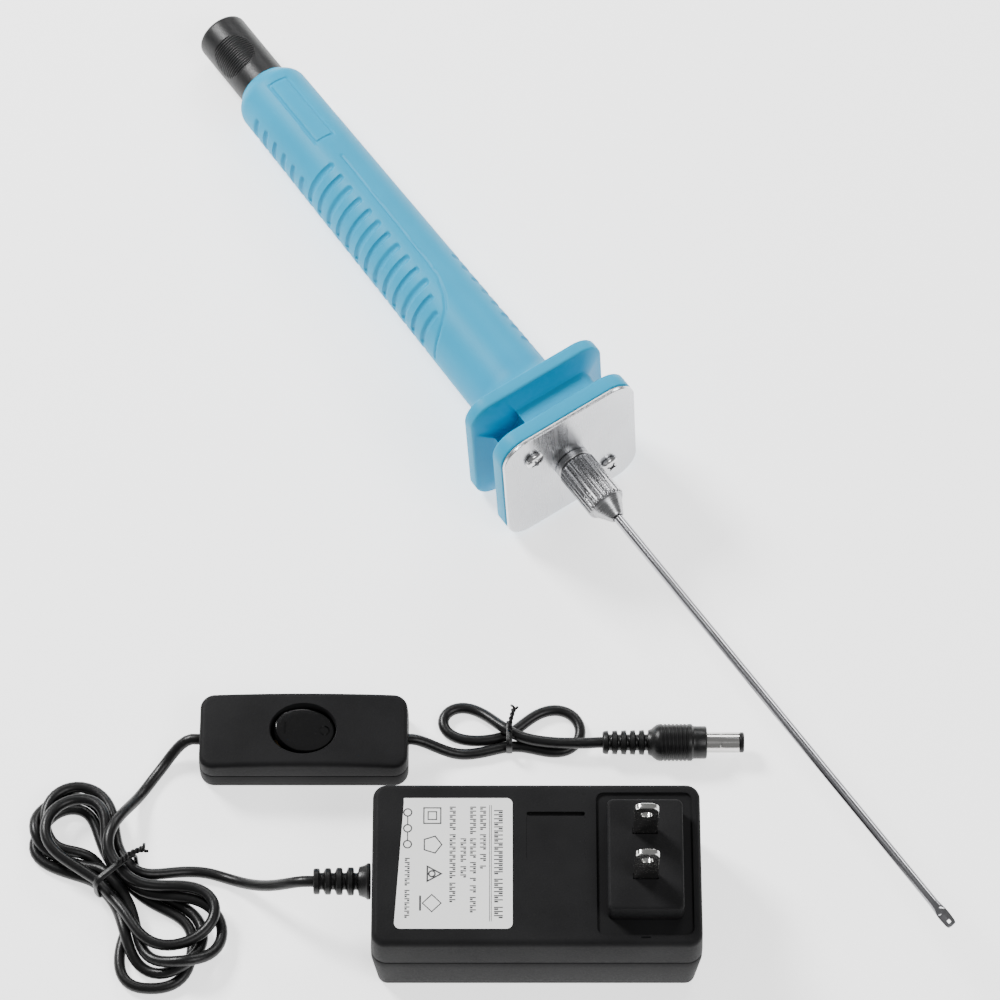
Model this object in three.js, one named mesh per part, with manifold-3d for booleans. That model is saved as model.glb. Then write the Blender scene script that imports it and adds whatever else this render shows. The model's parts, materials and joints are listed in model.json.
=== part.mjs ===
// Hot wire cutter: a heated-needle pen and its plug-in power lead, unplugged, on one table.
// Millimetres. The table is z = 0 and +Z is up. The origin is the centre of the adapter's base.
// +X runs along the adapter towards its blades, and -Y faces the user.
import * as THREE from 'three';
import { mergeVertices } from 'three/addons/utils/BufferGeometryUtils.js';
import Module from 'manifold-3d';

const wasm = await Module();
wasm.setup();

// ---------------------------------------------------------------- sizes

const FIT = 0.3;                 // gap between pieces that touch inside the turned pen
const SEAT = 0.1;                // gap between stacked flat pieces
const SLIP = 0.15;               // radial gap of a sliding or turning fit

// Pen, measured along its axis from the handle's rear face
const HANDLE_REAR_RADIUS = 10.8;
const HANDLE_FRONT_RADIUS = 12.1;
const HANDLE_WALL = 2.9;
const HANDLE_SHOULDER = 5;
const GRIP_LENGTH = 127.4;       // rear face to the start of the flare
const FLARE_RADIUS = 9;
const FLANGE_HALF = 21.3;        // half the side of the square flanges
const FLANGE_CORNER = 7;
const FLANGE_EDGE = 0.8;
const REAR_RIM = 4;
const REAR_TAPER = 2;
const CORE_HALF = 15.6;
const CORE_CORNER = 4;
const CORE_GAP = 7.6;            // between the flanges, at the core
const FRONT_RIM = 4.6;
const SHEET_THICKNESS = 0.4;
const PLATE_THICKNESS = 0.9;
const SCREW_CIRCLE = 17;         // distance of each plate screw from the axis
const SCREW_RADIUS = 1.45;
const SCREW_HEAD_RADIUS = 2.8;
const SCREW_HEAD_HEIGHT = 1.9;
const SCREW_TIP = 2.4;           // how far a screw's tip stands behind the front flange
const NOTCH_RADIUS = 4.5;
const GROOVE_PITCH = GRIP_LENGTH / 26;
const GROOVE_RADIUS = 1.05;
const GROOVE_LIFT = 0.37;        // how far a groove's centre line stands off the grip
const GROOVE_COUNT = 19;
const GROOVE_START = 2.4 * GROOVE_PITCH;
const LINE_RADIUS = 0.35;

const SLEEVE_RADIUS = 7.5;
const SLEEVE_LENGTH = 24.6;      // the part of the jack sleeve that shows
const SLEEVE_SEATED = 13.4;      // the part inside the handle
const JACK_MOUTH_RADIUS = 3.1;
const JACK_DEPTH = 10.5;
const JACK_PIN_RADIUS = 1;

const POST_RADIUS = 4;
const POST_THREAD_RADIUS = 3.6;
const POST_FLANGE_RADIUS = 6.5;
const POST_FLANGE = 1.8;
const POST_THREAD_LENGTH = 9.5;
const BUSH_RADIUS = 2;
const LOCK_RING_RADIUS = 5.2;
const LOCK_RING = 1.9;
const NUT_RADIUS = 5.5;
const NUT_LENGTH = 15;
const NUT_CONE = 5;
const NUT_TIP_RADIUS = 1.8;
const NUT_SERRATIONS = 30;
const SERRATION = 0.4;
const NEEDLE_RADIUS = 1.3;
const NEEDLE_WALL = 0.45;
const NEEDLE_EXPOSED = 150;
const NEEDLE_SEATED = 32;        // length held behind the nut's mouth
const SCOOP_LENGTH = 6.4;
const SCOOP_HALF_WIDTH = 1.55;
const SCOOP_HALF_THICKNESS = 0.7;
const HEATER_GAP = 0.25;         // between the heater and the needle's bore
const WIRE_RADIUS = 0.8;

const PEN_HEADING = 56;          // degrees, clockwise from +X seen from above
const PEN_TIP_X = 106;
const PEN_TIP_Y = -20;

// Adapter
const ADAPTER_LENGTH = 86;
const ADAPTER_DEPTH = 46;
const ADAPTER_HEIGHT = 30;
const ADAPTER_CORNER = 4;
const ADAPTER_WALL = 2.2;
const PARTING_HEIGHT = 18;
const DRAFT = 1.4;               // how much each side of the lower shell draws in
const BLOCK_LENGTH = 19.6;
const BLOCK_DEPTH = 31;
const BLOCK_HEIGHT = 6.3;
const BLOCK_INSET = 15;          // block centre to the adapter's blade end
const RECESS_DEPTH = 0.8;
const LABEL_LENGTH = 30.5;
const LABEL_DEPTH = 36.7;
const LABEL_THICKNESS = 0.15;
const LABEL_INSET = 21.5;        // label centre to the adapter's cord end
const BLADE_WIDTH = 6.35;
const BLADE_THICKNESS = 1.5;
const BLADE_SPACING = 12.7;
const BLADE_LENGTH = 16;
const BLADE_HOLE_RADIUS = 1.6;
const RELIEF_LENGTH = 15;
const BOARD_THICKNESS = 1.6;
const BOARD_HEIGHT = 5;          // underside of the circuit board

// Cord, switch and DC plug
const CORD_RADIUS = 1.5;
const CORD_HEIGHT = 1.7;         // axis of a cord that lies on the table
const SWITCH_LENGTH = 56;
const SWITCH_DEPTH = 22;
const SWITCH_HEIGHT = 14;
const SWITCH_WALL = 1.8;
const SWITCH_X = -62;
const SWITCH_Y = 46;
const ROCKER_HALF_LENGTH = 8;
const ROCKER_HALF_WIDTH = 6.3;
const ROCKER_GAP = 0.75;
const ROCKER_PIVOT = 11;         // height of the rocker's pivot
const ROCKER_TILT = 11;          // degrees each side of level
const PLUG_OFFSET = 25;          // cord end of the DC plug, from the loop's centre
const PLUG_RELIEF = 12;
const PLUG_GRIP = 16;
const PLUG_BARREL = 10;
const PLUG_GRIP_RADIUS = 5;
const PLUG_BARREL_RADIUS = 2.75;
const HANK_LOBES = [             // centres measured from the adapter's cord end
  { x: -80, y: 21, halfX: 12, halfY: 15 },
  { x: -54, y: -9, halfX: 17, halfY: 16 },
];
const HANK_BASE = 1.2;
const HANK_HEIGHT = 10;
const HANK_WAIST = 6;            // half the width of the tied waist
const HANK_TIE = { x: -68, y: 7.1 };       // from the adapter's cord end
const TIE_WIDTH = 1.8;
const TIE_THICKNESS = 0.8;
const LOOP_REACH = 27;           // from the switch's end to the loop's centre
const LOOP_HALF_LENGTH = 21;
const LOOP_HALF_WIDTH = 9;
const LOOP_OFFSET = 4.5;         // loop centre behind the switch's centre line
const LOOP_HEIGHT = 7;

// ---------------------------------------------------------------- shapes

function merged(geometry) {
  const bare = geometry.index ? geometry.toNonIndexed() : geometry.clone();
  bare.deleteAttribute('normal');
  bare.deleteAttribute('uv');
  return mergeVertices(bare, 1e-4);
}

function solid(geometry) {
  const shape = merged(geometry);
  return new wasm.Manifold(new wasm.Mesh({
    numProp: 3,
    vertProperties: new Float32Array(shape.attributes.position.array),
    triVerts: new Uint32Array(shape.index.array),
  }));
}

function surface(manifold) {
  const mesh = manifold.getMesh();
  const geometry = new THREE.BufferGeometry();
  geometry.setAttribute('position', new THREE.BufferAttribute(mesh.vertProperties, 3));
  geometry.setIndex(new THREE.BufferAttribute(mesh.triVerts, 1));
  geometry.computeVertexNormals();
  return geometry;
}

const cut = (base, ...tools) => surface(tools.reduce((sum, tool) => sum.subtract(solid(tool)), solid(base)));
const join = (base, ...others) => surface(others.reduce((sum, other) => sum.add(solid(other)), solid(base)));
const common = (base, other) => surface(solid(base).intersect(solid(other)));

// A solid through a stack of outlines with the same number of points, lowest first.
function loft(rings) {
  const count = rings[0].length;
  const points = rings.flat();
  const faces = [];
  for (let level = 0; level + 1 < rings.length; level += 1) {
    for (let i = 0; i < count; i += 1) {
      const a = level * count + i;
      const b = level * count + (i + 1) % count;
      faces.push(a, b, b + count, a, b + count, a + count);
    }
  }
  const last = (rings.length - 1) * count;
  const caps = [[0, rings[0]], [last, rings[rings.length - 1]]];
  for (const [start, ring] of caps) {
    const flat = ring.map((p) => new THREE.Vector2(p.x, p.y));
    for (const [a, b, c] of THREE.ShapeUtils.triangulateShape(flat, [])) {
      faces.push(...(start === 0 ? [c, b, a] : [a + start, b + start, c + start]));
    }
  }
  const geometry = new THREE.BufferGeometry();
  const places = points.flatMap((p) => [p.x, p.y, p.z]);
  geometry.setAttribute('position', new THREE.Float32BufferAttribute(places, 3));
  geometry.setIndex(faces);
  return geometry;
}

// Rounded rectangle, counter-clockwise.
function rounded(halfX, halfY, corner, z, cornerSteps = 4) {
  const points = [];
  const quarters = [[1, 1], [-1, 1], [-1, -1], [1, -1]];
  quarters.forEach(([signX, signY], quarter) => {
    for (let i = 0; i <= cornerSteps; i += 1) {
      const angle = (quarter + i / cornerSteps) * Math.PI / 2;
      points.push(new THREE.Vector3(
        signX * (halfX - corner) + corner * Math.cos(angle),
        signY * (halfY - corner) + corner * Math.sin(angle),
        z,
      ));
    }
  });
  return points;
}

function oval(halfX, halfY, z, steps = 24) {
  return Array.from({ length: steps }, (_, i) => {
    const angle = i / steps * 2 * Math.PI;
    return new THREE.Vector3(halfX * Math.cos(angle), halfY * Math.sin(angle), z);
  });
}

// Turned about Z from [radius, z] pairs that run from the low end to the high end.
function turned(profile, segments = 24) {
  const points = profile.map(([radius, z]) => new THREE.Vector2(radius, z));
  return new THREE.LatheGeometry(points, segments).rotateX(Math.PI / 2);
}

const disc = (radius, from, to, segments) =>
  turned([[0, from], [radius, from], [radius, to], [0, to]], segments);

// A ring or pipe about Z.
function pipe(inner, outer, from, to, segments) {
  return turned([[inner, from], [outer, from], [outer, to], [inner, to], [inner, from]], segments);
}

function block(width, depth, height, x, y, z) {
  return new THREE.BoxGeometry(width, depth, height).translate(x, y, z + height / 2);
}

// A round tube along a smooth curve through the points.
function tube(points, radius, sides, steps) {
  const section = new THREE.Shape();
  for (let i = 0; i < sides; i += 1) {
    const angle = i / sides * 2 * Math.PI;
    const place = [radius * Math.cos(angle), radius * Math.sin(angle)];
    if (i === 0) section.moveTo(...place);
    else section.lineTo(...place);
  }
  const path = new THREE.CatmullRomCurve3(points, false, 'centripetal');
  return new THREE.ExtrudeGeometry(section, { steps, extrudePath: path });
}

// An outline extruded along Z, with its edges rounded by the bevel.
function slab(outline, height, z, bevel = 0) {
  const flat = new THREE.Shape(outline.map((p) => new THREE.Vector2(p.x, p.y)));
  const geometry = new THREE.ExtrudeGeometry(flat, {
    depth: height - 2 * bevel,
    bevelEnabled: bevel > 0,
    bevelThickness: bevel,
    bevelSize: bevel,
    bevelOffset: -bevel,
    bevelSegments: 2,
  });
  return geometry.translate(0, 0, z + bevel);
}

// ---------------------------------------------------------------- materials

const material = (color, roughness, metalness = 0) =>
  new THREE.MeshStandardMaterial({ color, roughness, metalness });

const CYAN = material(0x6fcbe6, 0.45);
const BLACK = material(0x1c1c1e, 0.55);
const DARK = material(0x2a2a2c, 0.7);
const STEEL = material(0xc9ccd0, 0.25, 1);
const GREY_STEEL = material(0x8d9095, 0.4, 1);
const NICKEL = material(0xd2d0ca, 0.2, 1);
const BRASS = material(0xc7a45a, 0.35, 1);
const WHITE = material(0xf4f4f2, 0.6);
const CERAMIC = material(0xe9e4d8, 0.8);
const BOARD = material(0x1f5b34, 0.6);
const YELLOW = material(0xd9b23a, 0.6);
const RED = material(0xa42a2a, 0.6);

const hotWireCutter = new THREE.Group();

function piece(parent, name, geometry, look) {
  const mesh = new THREE.Mesh(geometry, look);
  mesh.name = name;
  parent.add(mesh);
  return mesh;
}

// ---------------------------------------------------------------- pen frame

const REAR_FLANGE = GRIP_LENGTH + FLARE_RADIUS;
const REAR_FLANGE_END = REAR_FLANGE + REAR_RIM;
const CORE_START = REAR_FLANGE_END + REAR_TAPER;
const FRONT_FLANGE = CORE_START + CORE_GAP;
const HANDLE_END = FRONT_FLANGE + FRONT_RIM;
const SHEET_START = HANDLE_END + SEAT;
const PLATE_START = SHEET_START + SHEET_THICKNESS + SEAT;
const PLATE_END = PLATE_START + PLATE_THICKNESS;
const RING_START = PLATE_END + SEAT;
const NUT_START = RING_START + LOCK_RING + FIT;
const CONE_START = NUT_START + NUT_LENGTH;
const NUT_END = CONE_START + NUT_CONE;
const NEEDLE_END = NUT_END + NEEDLE_EXPOSED;
const NEEDLE_START = NUT_END - NEEDLE_SEATED;
const SCREW_OFFSET = SCREW_CIRCLE / Math.SQRT2;

// The pen lies on the rear shoulder of its handle and the lower edge of its rear flange.
const shoulderDrop = HANDLE_REAR_RADIUS - HANDLE_SHOULDER;
const edgeDrop = FLANGE_HALF - FLANGE_EDGE;
const span = REAR_FLANGE + FLANGE_EDGE - HANDLE_SHOULDER;
const penTilt = Math.atan2(edgeDrop - shoulderDrop, span)
  + Math.asin((FLANGE_EDGE - HANDLE_SHOULDER) / Math.hypot(span, edgeDrop - shoulderDrop));
const rearHeight = shoulderDrop * Math.cos(penTilt) - HANDLE_SHOULDER * Math.sin(penTilt) + HANDLE_SHOULDER;

const heading = THREE.MathUtils.degToRad(PEN_HEADING);
const penAxis = new THREE.Vector3(
  Math.cos(penTilt) * Math.cos(heading),
  -Math.cos(penTilt) * Math.sin(heading),
  Math.sin(penTilt),
);
const penSide = new THREE.Vector3(Math.sin(heading), Math.cos(heading), 0);
const penUp = new THREE.Vector3().crossVectors(penAxis, penSide);

const pen = new THREE.Group();
pen.quaternion.setFromRotationMatrix(new THREE.Matrix4().makeBasis(penSide, penUp, penAxis));
pen.position.set(
  PEN_TIP_X - NEEDLE_END * penAxis.x,
  PEN_TIP_Y - NEEDLE_END * penAxis.y,
  rearHeight,
);
hotWireCutter.add(pen);

const gripRadius = (s) => THREE.MathUtils.lerp(
  HANDLE_REAR_RADIUS,
  HANDLE_FRONT_RADIUS,
  THREE.MathUtils.clamp((s - HANDLE_SHOULDER) / (GRIP_LENGTH - HANDLE_SHOULDER), 0, 1),
);

// A point on the grip: degrees from the upper side towards the user's side of the pen.
function onGrip(s, degrees, lift = 0) {
  const angle = THREE.MathUtils.degToRad(degrees);
  const radius = gripRadius(s) + lift;
  return new THREE.Vector3(-radius * Math.sin(angle), radius * Math.cos(angle), s);
}

// ---------------------------------------------------------------- handle

function handleBody() {
  const profile = [[0, 0], [HANDLE_REAR_RADIUS - HANDLE_SHOULDER + 2.4, 0]];
  for (let i = 2; i <= 6; i += 1) {
    const angle = i / 6 * Math.PI / 2;
    profile.push([
      HANDLE_REAR_RADIUS - HANDLE_SHOULDER * (1 - Math.sin(angle)),
      HANDLE_SHOULDER * (1 - Math.cos(angle)),
    ]);
  }
  profile.push([HANDLE_FRONT_RADIUS, GRIP_LENGTH]);
  for (let i = 1; i <= 4; i += 1) {
    const angle = i / 4 * Math.PI / 2;
    profile.push([
      HANDLE_FRONT_RADIUS + FLARE_RADIUS * (1 - Math.cos(angle)) * 0.8,
      GRIP_LENGTH + FLARE_RADIUS * Math.sin(angle),
    ]);
  }
  profile.push([HANDLE_FRONT_RADIUS, CORE_START], [0, CORE_START]);
  return turned(profile, 40);
}

const flangeRing = (inset, z) =>
  rounded(FLANGE_HALF - inset, FLANGE_HALF - inset, Math.max(FLANGE_CORNER - inset, 1), z, 6);

function rearFlange() {
  return loft([
    flangeRing(FLANGE_EDGE, REAR_FLANGE),
    flangeRing(0, REAR_FLANGE + FLANGE_EDGE),
    flangeRing(0, REAR_FLANGE_END - FLANGE_EDGE),
    flangeRing(FLANGE_EDGE, REAR_FLANGE_END),
    flangeRing(FLANGE_HALF - CORE_HALF, CORE_START),
  ]);
}

function frontFlange() {
  return loft([
    flangeRing(FLANGE_EDGE, FRONT_FLANGE),
    flangeRing(0, FRONT_FLANGE + FLANGE_EDGE),
    flangeRing(0, HANDLE_END - FLANGE_EDGE / 2),
    flangeRing(FLANGE_EDGE / 2, HANDLE_END),
  ]);
}

const atScrews = (shape) => [-1, 1].map((side) =>
  shape().translate(side * -SCREW_OFFSET, side * SCREW_OFFSET, 0));

function flangeCore() {
  const inside = REAR_FLANGE + REAR_RIM / 2;
  const core = loft([
    rounded(CORE_HALF, CORE_HALF, CORE_CORNER, inside),
    rounded(CORE_HALF, CORE_HALF, CORE_CORNER, FRONT_FLANGE + FRONT_RIM / 2),
  ]);
  return cut(core, ...atScrews(() => disc(NOTCH_RADIUS, CORE_START, FRONT_FLANGE, 16)));
}

function gripGroove(s, from, to) {
  const steps = Math.max(2, Math.round((to - from) / 18));
  const points = Array.from({ length: steps + 1 }, (_, i) =>
    onGrip(s, from + (to - from) * i / steps, GROOVE_LIFT));
  return tube(points, GROOVE_RADIUS, 5, steps);
}

// Finger grooves: a row along the user's side, long ones over the front of the grip, and
// a short row for the thumb on the far side.
function gripGrooves() {
  const grooves = [];
  const longFrom = 6;
  for (let i = 0; i < GROOVE_COUNT; i += 1) {
    const s = GROOVE_START + i * GROOVE_PITCH;
    if (i < longFrom) {
      grooves.push(gripGroove(s, 67, 129));
      continue;
    }
    const shortening = Math.max(0, i - (GROOVE_COUNT - 3)) * 9;
    grooves.push(gripGroove(s, 17 + shortening, 87), gripGroove(s, 97, 129));
  }
  const thumbFrom = 15;
  const thumbTo = 22;
  for (let i = thumbFrom; i <= thumbTo; i += 1) {
    grooves.push(gripGroove(GROOVE_START + i * GROOVE_PITCH, -84, -52));
  }
  return grooves;
}

// The thin line that runs along the top of the grip and turns down at its front.
function gripLine() {
  const route = [
    [0.314, -6], [0.432, -5], [0.549, -4], [0.659, -3], [0.714, -1], [0.761, 8], [0.793, 20],
    [0.812, 35], [0.824, 50], [0.832, 68], [0.837, 88],
  ];
  return tube(route.map(([part, degrees]) => onGrip(part * GRIP_LENGTH, degrees, 0.1)), LINE_RADIUS, 5, 26);
}

// The outline of a plain panel near the rear of the grip.
function panelLines() {
  const [rear, front] = [0.055 * GRIP_LENGTH, 0.25 * GRIP_LENGTH];
  const [far, near] = [-20, 12];
  const side = (from, to, steps) => {
    const points = Array.from({ length: steps + 1 }, (_, i) => {
      const part = i / steps;
      return onGrip(
        THREE.MathUtils.lerp(from[0], to[0], part),
        THREE.MathUtils.lerp(from[1], to[1], part),
        0.15,
      );
    });
    return tube(points, LINE_RADIUS, 5, steps);
  };
  return [
    side([rear, far], [rear, near], 3),
    side([front, far], [front, near], 3),
    side([rear - LINE_RADIUS, far], [front + LINE_RADIUS, far], 1),
    side([rear - LINE_RADIUS, near], [front + LINE_RADIUS, near], 1),
  ];
}

function handleHollows() {
  const postHole = POST_RADIUS + FIT;
  const jackHole = SLEEVE_RADIUS + FIT;
  const pocket = SLEEVE_SEATED + FIT;
  const web = 2;
  return [
    disc(jackHole, -1, pocket, 32),
    disc(POST_RADIUS, pocket - 1, pocket + web + 1, 16),
    disc(HANDLE_REAR_RADIUS - HANDLE_WALL, pocket + web, REAR_FLANGE, 24),
    disc(postHole, REAR_FLANGE - 1, HANDLE_END + 1, 24),
    disc(POST_FLANGE_RADIUS + FIT, HANDLE_END - POST_FLANGE - 2 * SEAT, HANDLE_END + 1, 24),
    ...atScrews(() => disc(SCREW_RADIUS + FIT, FRONT_FLANGE - 1, HANDLE_END + 1, 12)),
  ];
}

piece(pen, 'handle', cut(
  join(handleBody(), rearFlange(), flangeCore(), frontFlange()),
  ...handleHollows(),
  ...gripGrooves(),
  gripLine(),
  ...panelLines(),
), CYAN);

// ---------------------------------------------------------------- jack

const jackInsertStart = -SLEEVE_LENGTH + JACK_DEPTH + FIT;
const jackInsertRadius = 4.8;
const contactGap = JACK_MOUTH_RADIUS + 0.1;
const contactThickness = 0.4;
const contactWidth = 1.2;

piece(pen, 'dc_jack_sleeve', cut(
  turned([
    [0, -SLEEVE_LENGTH], [SLEEVE_RADIUS - 1.4, -SLEEVE_LENGTH],
    [SLEEVE_RADIUS - 0.4, -SLEEVE_LENGTH + 0.4], [SLEEVE_RADIUS, -SLEEVE_LENGTH + 1.4],
    [SLEEVE_RADIUS, SLEEVE_SEATED], [0, SLEEVE_SEATED],
  ], 32),
  disc(JACK_MOUTH_RADIUS, -SLEEVE_LENGTH - 1, jackInsertStart, 24),
  disc(jackInsertRadius + FIT, jackInsertStart - FIT, SLEEVE_SEATED + 1, 24),
  block(contactWidth + 2 * FIT, contactThickness + 2 * FIT, JACK_DEPTH, 0,
    contactGap + contactThickness / 2, -SLEEVE_LENGTH + 1.5),
), BLACK);

piece(pen, 'jack_insulator', cut(
  disc(jackInsertRadius, jackInsertStart, SLEEVE_SEATED - 2, 20),
  disc(JACK_PIN_RADIUS + FIT, jackInsertStart - 1, SLEEVE_SEATED, 12),
  block(contactWidth + 2 * FIT, contactThickness + 2 * FIT, SLEEVE_LENGTH + SLEEVE_SEATED, 0,
    contactGap + contactThickness / 2, -SLEEVE_LENGTH),
), WHITE);

piece(pen, 'jack_centre_pin', turned([
  [0, -SLEEVE_LENGTH + 2], [JACK_PIN_RADIUS * 0.6, -SLEEVE_LENGTH + 2],
  [JACK_PIN_RADIUS, -SLEEVE_LENGTH + 2.6], [JACK_PIN_RADIUS, SLEEVE_SEATED], [0, SLEEVE_SEATED],
], 12), NICKEL);

piece(pen, 'jack_side_contact', block(
  contactWidth, contactThickness, SLEEVE_LENGTH + SLEEVE_SEATED - 3, 0,
  contactGap + contactThickness / 2, -SLEEVE_LENGTH + 3,
), NICKEL);

const wireStart = SLEEVE_SEATED + FIT;
const wireEnd = NEEDLE_START - FIT;

// A wire from the jack to the needle; its last number is the part of the way along.
function penWire(route) {
  const points = route.map(([x, y, part]) =>
    new THREE.Vector3(x, y, THREE.MathUtils.lerp(wireStart, wireEnd, part)));
  return tube(points, WIRE_RADIUS, 6, 20);
}

piece(pen, 'pen_wire_positive', penWire([
  [0, 0, 0], [0, -0.4, 0.045], [2.2, -1.6, 0.153], [3, 1, 0.365], [1.6, 2.6, 0.561],
  [-0.6, 2, 0.742], [-1, 0.4, 0.878], [-0.9, 0, 0.955], [-0.9, 0, 1],
]), RED);

piece(pen, 'pen_wire_negative', penWire([
  [0, 2.8, 0], [0, 2.4, 0.038], [-2.4, 1.6, 0.153], [-3, -2, 0.365], [-1, -3, 0.561],
  [1.6, -2, 0.742], [1.1, -0.4, 0.878], [0.9, 0, 0.955], [0.9, 0, 1],
]), DARK);

// ---------------------------------------------------------------- guard plate and screws

function plateShape(halfSide, from, thickness, centreHole) {
  return cut(
    slab(rounded(halfSide, halfSide, FLANGE_CORNER, 0, 6), thickness, from),
    disc(centreHole, from - 1, from + thickness + 1, 24),
    ...atScrews(() => disc(SCREW_RADIUS + FIT, from - 1, from + thickness + 1, 12)),
  );
}

piece(pen, 'insulating_sheet',
  plateShape(FLANGE_HALF - 0.4, SHEET_START, SHEET_THICKNESS, POST_RADIUS + FIT), WHITE);
piece(pen, 'guard_plate', plateShape(FLANGE_HALF, PLATE_START, PLATE_THICKNESS, POST_RADIUS + FIT), STEEL);

function plateScrew() {
  const seat = PLATE_END + SEAT;
  const top = seat + SCREW_HEAD_HEIGHT;
  const tip = FRONT_FLANGE - SCREW_TIP;
  const body = turned([
    [0, tip], [0.3, tip], [SCREW_RADIUS, tip + 1.6], [SCREW_RADIUS, seat], [SCREW_HEAD_RADIUS, seat],
    [SCREW_HEAD_RADIUS, seat + 0.7], [SCREW_HEAD_RADIUS * 0.8, seat + 1.5],
    [SCREW_HEAD_RADIUS * 0.4, top], [0, top],
  ], 16);
  const recess = 1.1;
  const slot = 0.7;
  return cut(
    body,
    block(SCREW_HEAD_RADIUS * 1.2, slot, recess * 2, 0, 0, top - recess),
    block(slot, SCREW_HEAD_RADIUS * 1.2, recess * 2, 0, 0, top - recess),
  );
}

const [nearScrew, farScrew] = [1, -1].map((side) =>
  plateScrew().translate(side * -SCREW_OFFSET, side * SCREW_OFFSET, 0));
piece(pen, 'plate_screw_near', nearScrew, STEEL);
piece(pen, 'plate_screw_far', farScrew, STEEL);

// ---------------------------------------------------------------- chuck and needle

const threadEnd = NUT_START + POST_THREAD_LENGTH;
const colletStem = BUSH_RADIUS;
const colletSeat = threadEnd + 1.2;
const colletEnd = NUT_END - 3.2;
const needleClear = NEEDLE_RADIUS + SLIP;
const needleBore = NEEDLE_RADIUS - NEEDLE_WALL;

piece(pen, 'chuck_post', turned([
  [BUSH_RADIUS + SLIP, FRONT_FLANGE - 2], [POST_RADIUS, FRONT_FLANGE - 2],
  [POST_RADIUS, HANDLE_END - POST_FLANGE - SEAT], [POST_FLANGE_RADIUS, HANDLE_END - POST_FLANGE - SEAT],
  [POST_FLANGE_RADIUS, HANDLE_END - SEAT], [POST_RADIUS, HANDLE_END - SEAT],
  [POST_RADIUS, NUT_START - FIT], [POST_THREAD_RADIUS, NUT_START - FIT],
  [POST_THREAD_RADIUS, threadEnd], [BUSH_RADIUS + SLIP, threadEnd],
  [BUSH_RADIUS + SLIP, FRONT_FLANGE - 2],
], 24), GREY_STEEL);

piece(pen, 'insulating_bush',
  pipe(needleClear, BUSH_RADIUS, FRONT_FLANGE - 2, threadEnd - 6, 16), CERAMIC);

piece(pen, 'lock_ring', turned([
  [POST_RADIUS + SLIP, RING_START], [LOCK_RING_RADIUS, RING_START],
  [LOCK_RING_RADIUS, RING_START + LOCK_RING - 0.4], [LOCK_RING_RADIUS - 0.4, RING_START + LOCK_RING],
  [POST_RADIUS + SLIP, RING_START + LOCK_RING], [POST_RADIUS + SLIP, RING_START],
], 32), GREY_STEEL);

function serrated(scale, z) {
  const count = NUT_SERRATIONS * 2;
  return Array.from({ length: count }, (_, i) => {
    const angle = i / count * 2 * Math.PI;
    const radius = (NUT_RADIUS - (i % 2) * SERRATION) * scale;
    return new THREE.Vector3(radius * Math.cos(angle), radius * Math.sin(angle), z);
  });
}

const nutBody = join(
  loft([
    serrated(0.93, NUT_START), serrated(1, NUT_START + 0.5),
    serrated(1, CONE_START - 0.5), serrated(0.93, CONE_START),
  ]),
  turned([[0, CONE_START - 1], [NUT_RADIUS - 0.8, CONE_START - 1], [NUT_RADIUS - 0.8, CONE_START],
    [NUT_TIP_RADIUS, NUT_END], [0, NUT_END]], 24),
);
const nutChamber = NUT_RADIUS - 2;
piece(pen, 'knurled_nut', cut(
  nutBody,
  turned([
    [0, NUT_START - 1], [POST_THREAD_RADIUS + SLIP, NUT_START - 1],
    [POST_THREAD_RADIUS + SLIP, threadEnd + 0.6], [nutChamber, threadEnd + 0.6],
    [nutChamber, CONE_START - 2], [needleClear, NUT_END - 0.6], [needleClear, NUT_END + 1],
    [0, NUT_END + 1],
  ], 24),
), GREY_STEEL);

piece(pen, 'collet', cut(
  turned([
    [0, threadEnd - 5.5], [colletStem, threadEnd - 5.5], [colletStem, colletSeat],
    [nutChamber - FIT, colletSeat], [nutChamber - FIT, CONE_START - 2.4],
    [NEEDLE_RADIUS + 0.6, colletEnd], [0, colletEnd],
  ], 20),
  disc(needleClear, threadEnd - 6, NUT_END, 20),
  block(0.5, 4 * NUT_RADIUS, NUT_CONE + 6, 0, 0, colletSeat + 1),
), BRASS);

function needleShape() {
  const scoopStart = NEEDLE_END - SCOOP_LENGTH;
  const round = (z) => oval(NEEDLE_RADIUS, NEEDLE_RADIUS, z, 16);
  return cut(
    loft([
      round(NEEDLE_START), round(scoopStart - 1.4),
      oval(SCOOP_HALF_WIDTH * 0.94, NEEDLE_RADIUS * 0.75, scoopStart + 1.2, 16),
      oval(SCOOP_HALF_WIDTH, SCOOP_HALF_THICKNESS, scoopStart + 3, 16),
      oval(SCOOP_HALF_WIDTH * 0.92, SCOOP_HALF_THICKNESS, NEEDLE_END - 0.9, 16),
      oval(SCOOP_HALF_WIDTH * 0.72, SCOOP_HALF_THICKNESS * 0.8, NEEDLE_END, 16),
    ]),
    disc(needleBore, NEEDLE_START - 1, scoopStart - 3, 12),
    block(0.9, 3 * NEEDLE_RADIUS, 1.1, 0, 0, NEEDLE_END - 1.9),
  );
}
piece(pen, 'needle_tube', needleShape().rotateZ(THREE.MathUtils.degToRad(22)), STEEL);
piece(pen, 'heater_core',
  disc(needleBore - HEATER_GAP, NEEDLE_START + FIT, NEEDLE_END - SCOOP_LENGTH - 4, 8), CERAMIC);

// ---------------------------------------------------------------- adapter

const half = { x: ADAPTER_LENGTH / 2, y: ADAPTER_DEPTH / 2 };
const adapterRing = (inset, z) =>
  rounded(half.x - inset, half.y - inset, Math.max(ADAPTER_CORNER - inset, 1), z);
const blockX = half.x - BLOCK_INSET;
const labelX = -half.x + LABEL_INSET;
const blockFloor = ADAPTER_HEIGHT - RECESS_DEPTH;
const blockTop = ADAPTER_HEIGHT + BLOCK_HEIGHT;
const bladeFoot = ADAPTER_HEIGHT - 5;
const reliefRadius = 4.8;
const reliefSeat = 3;

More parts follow.
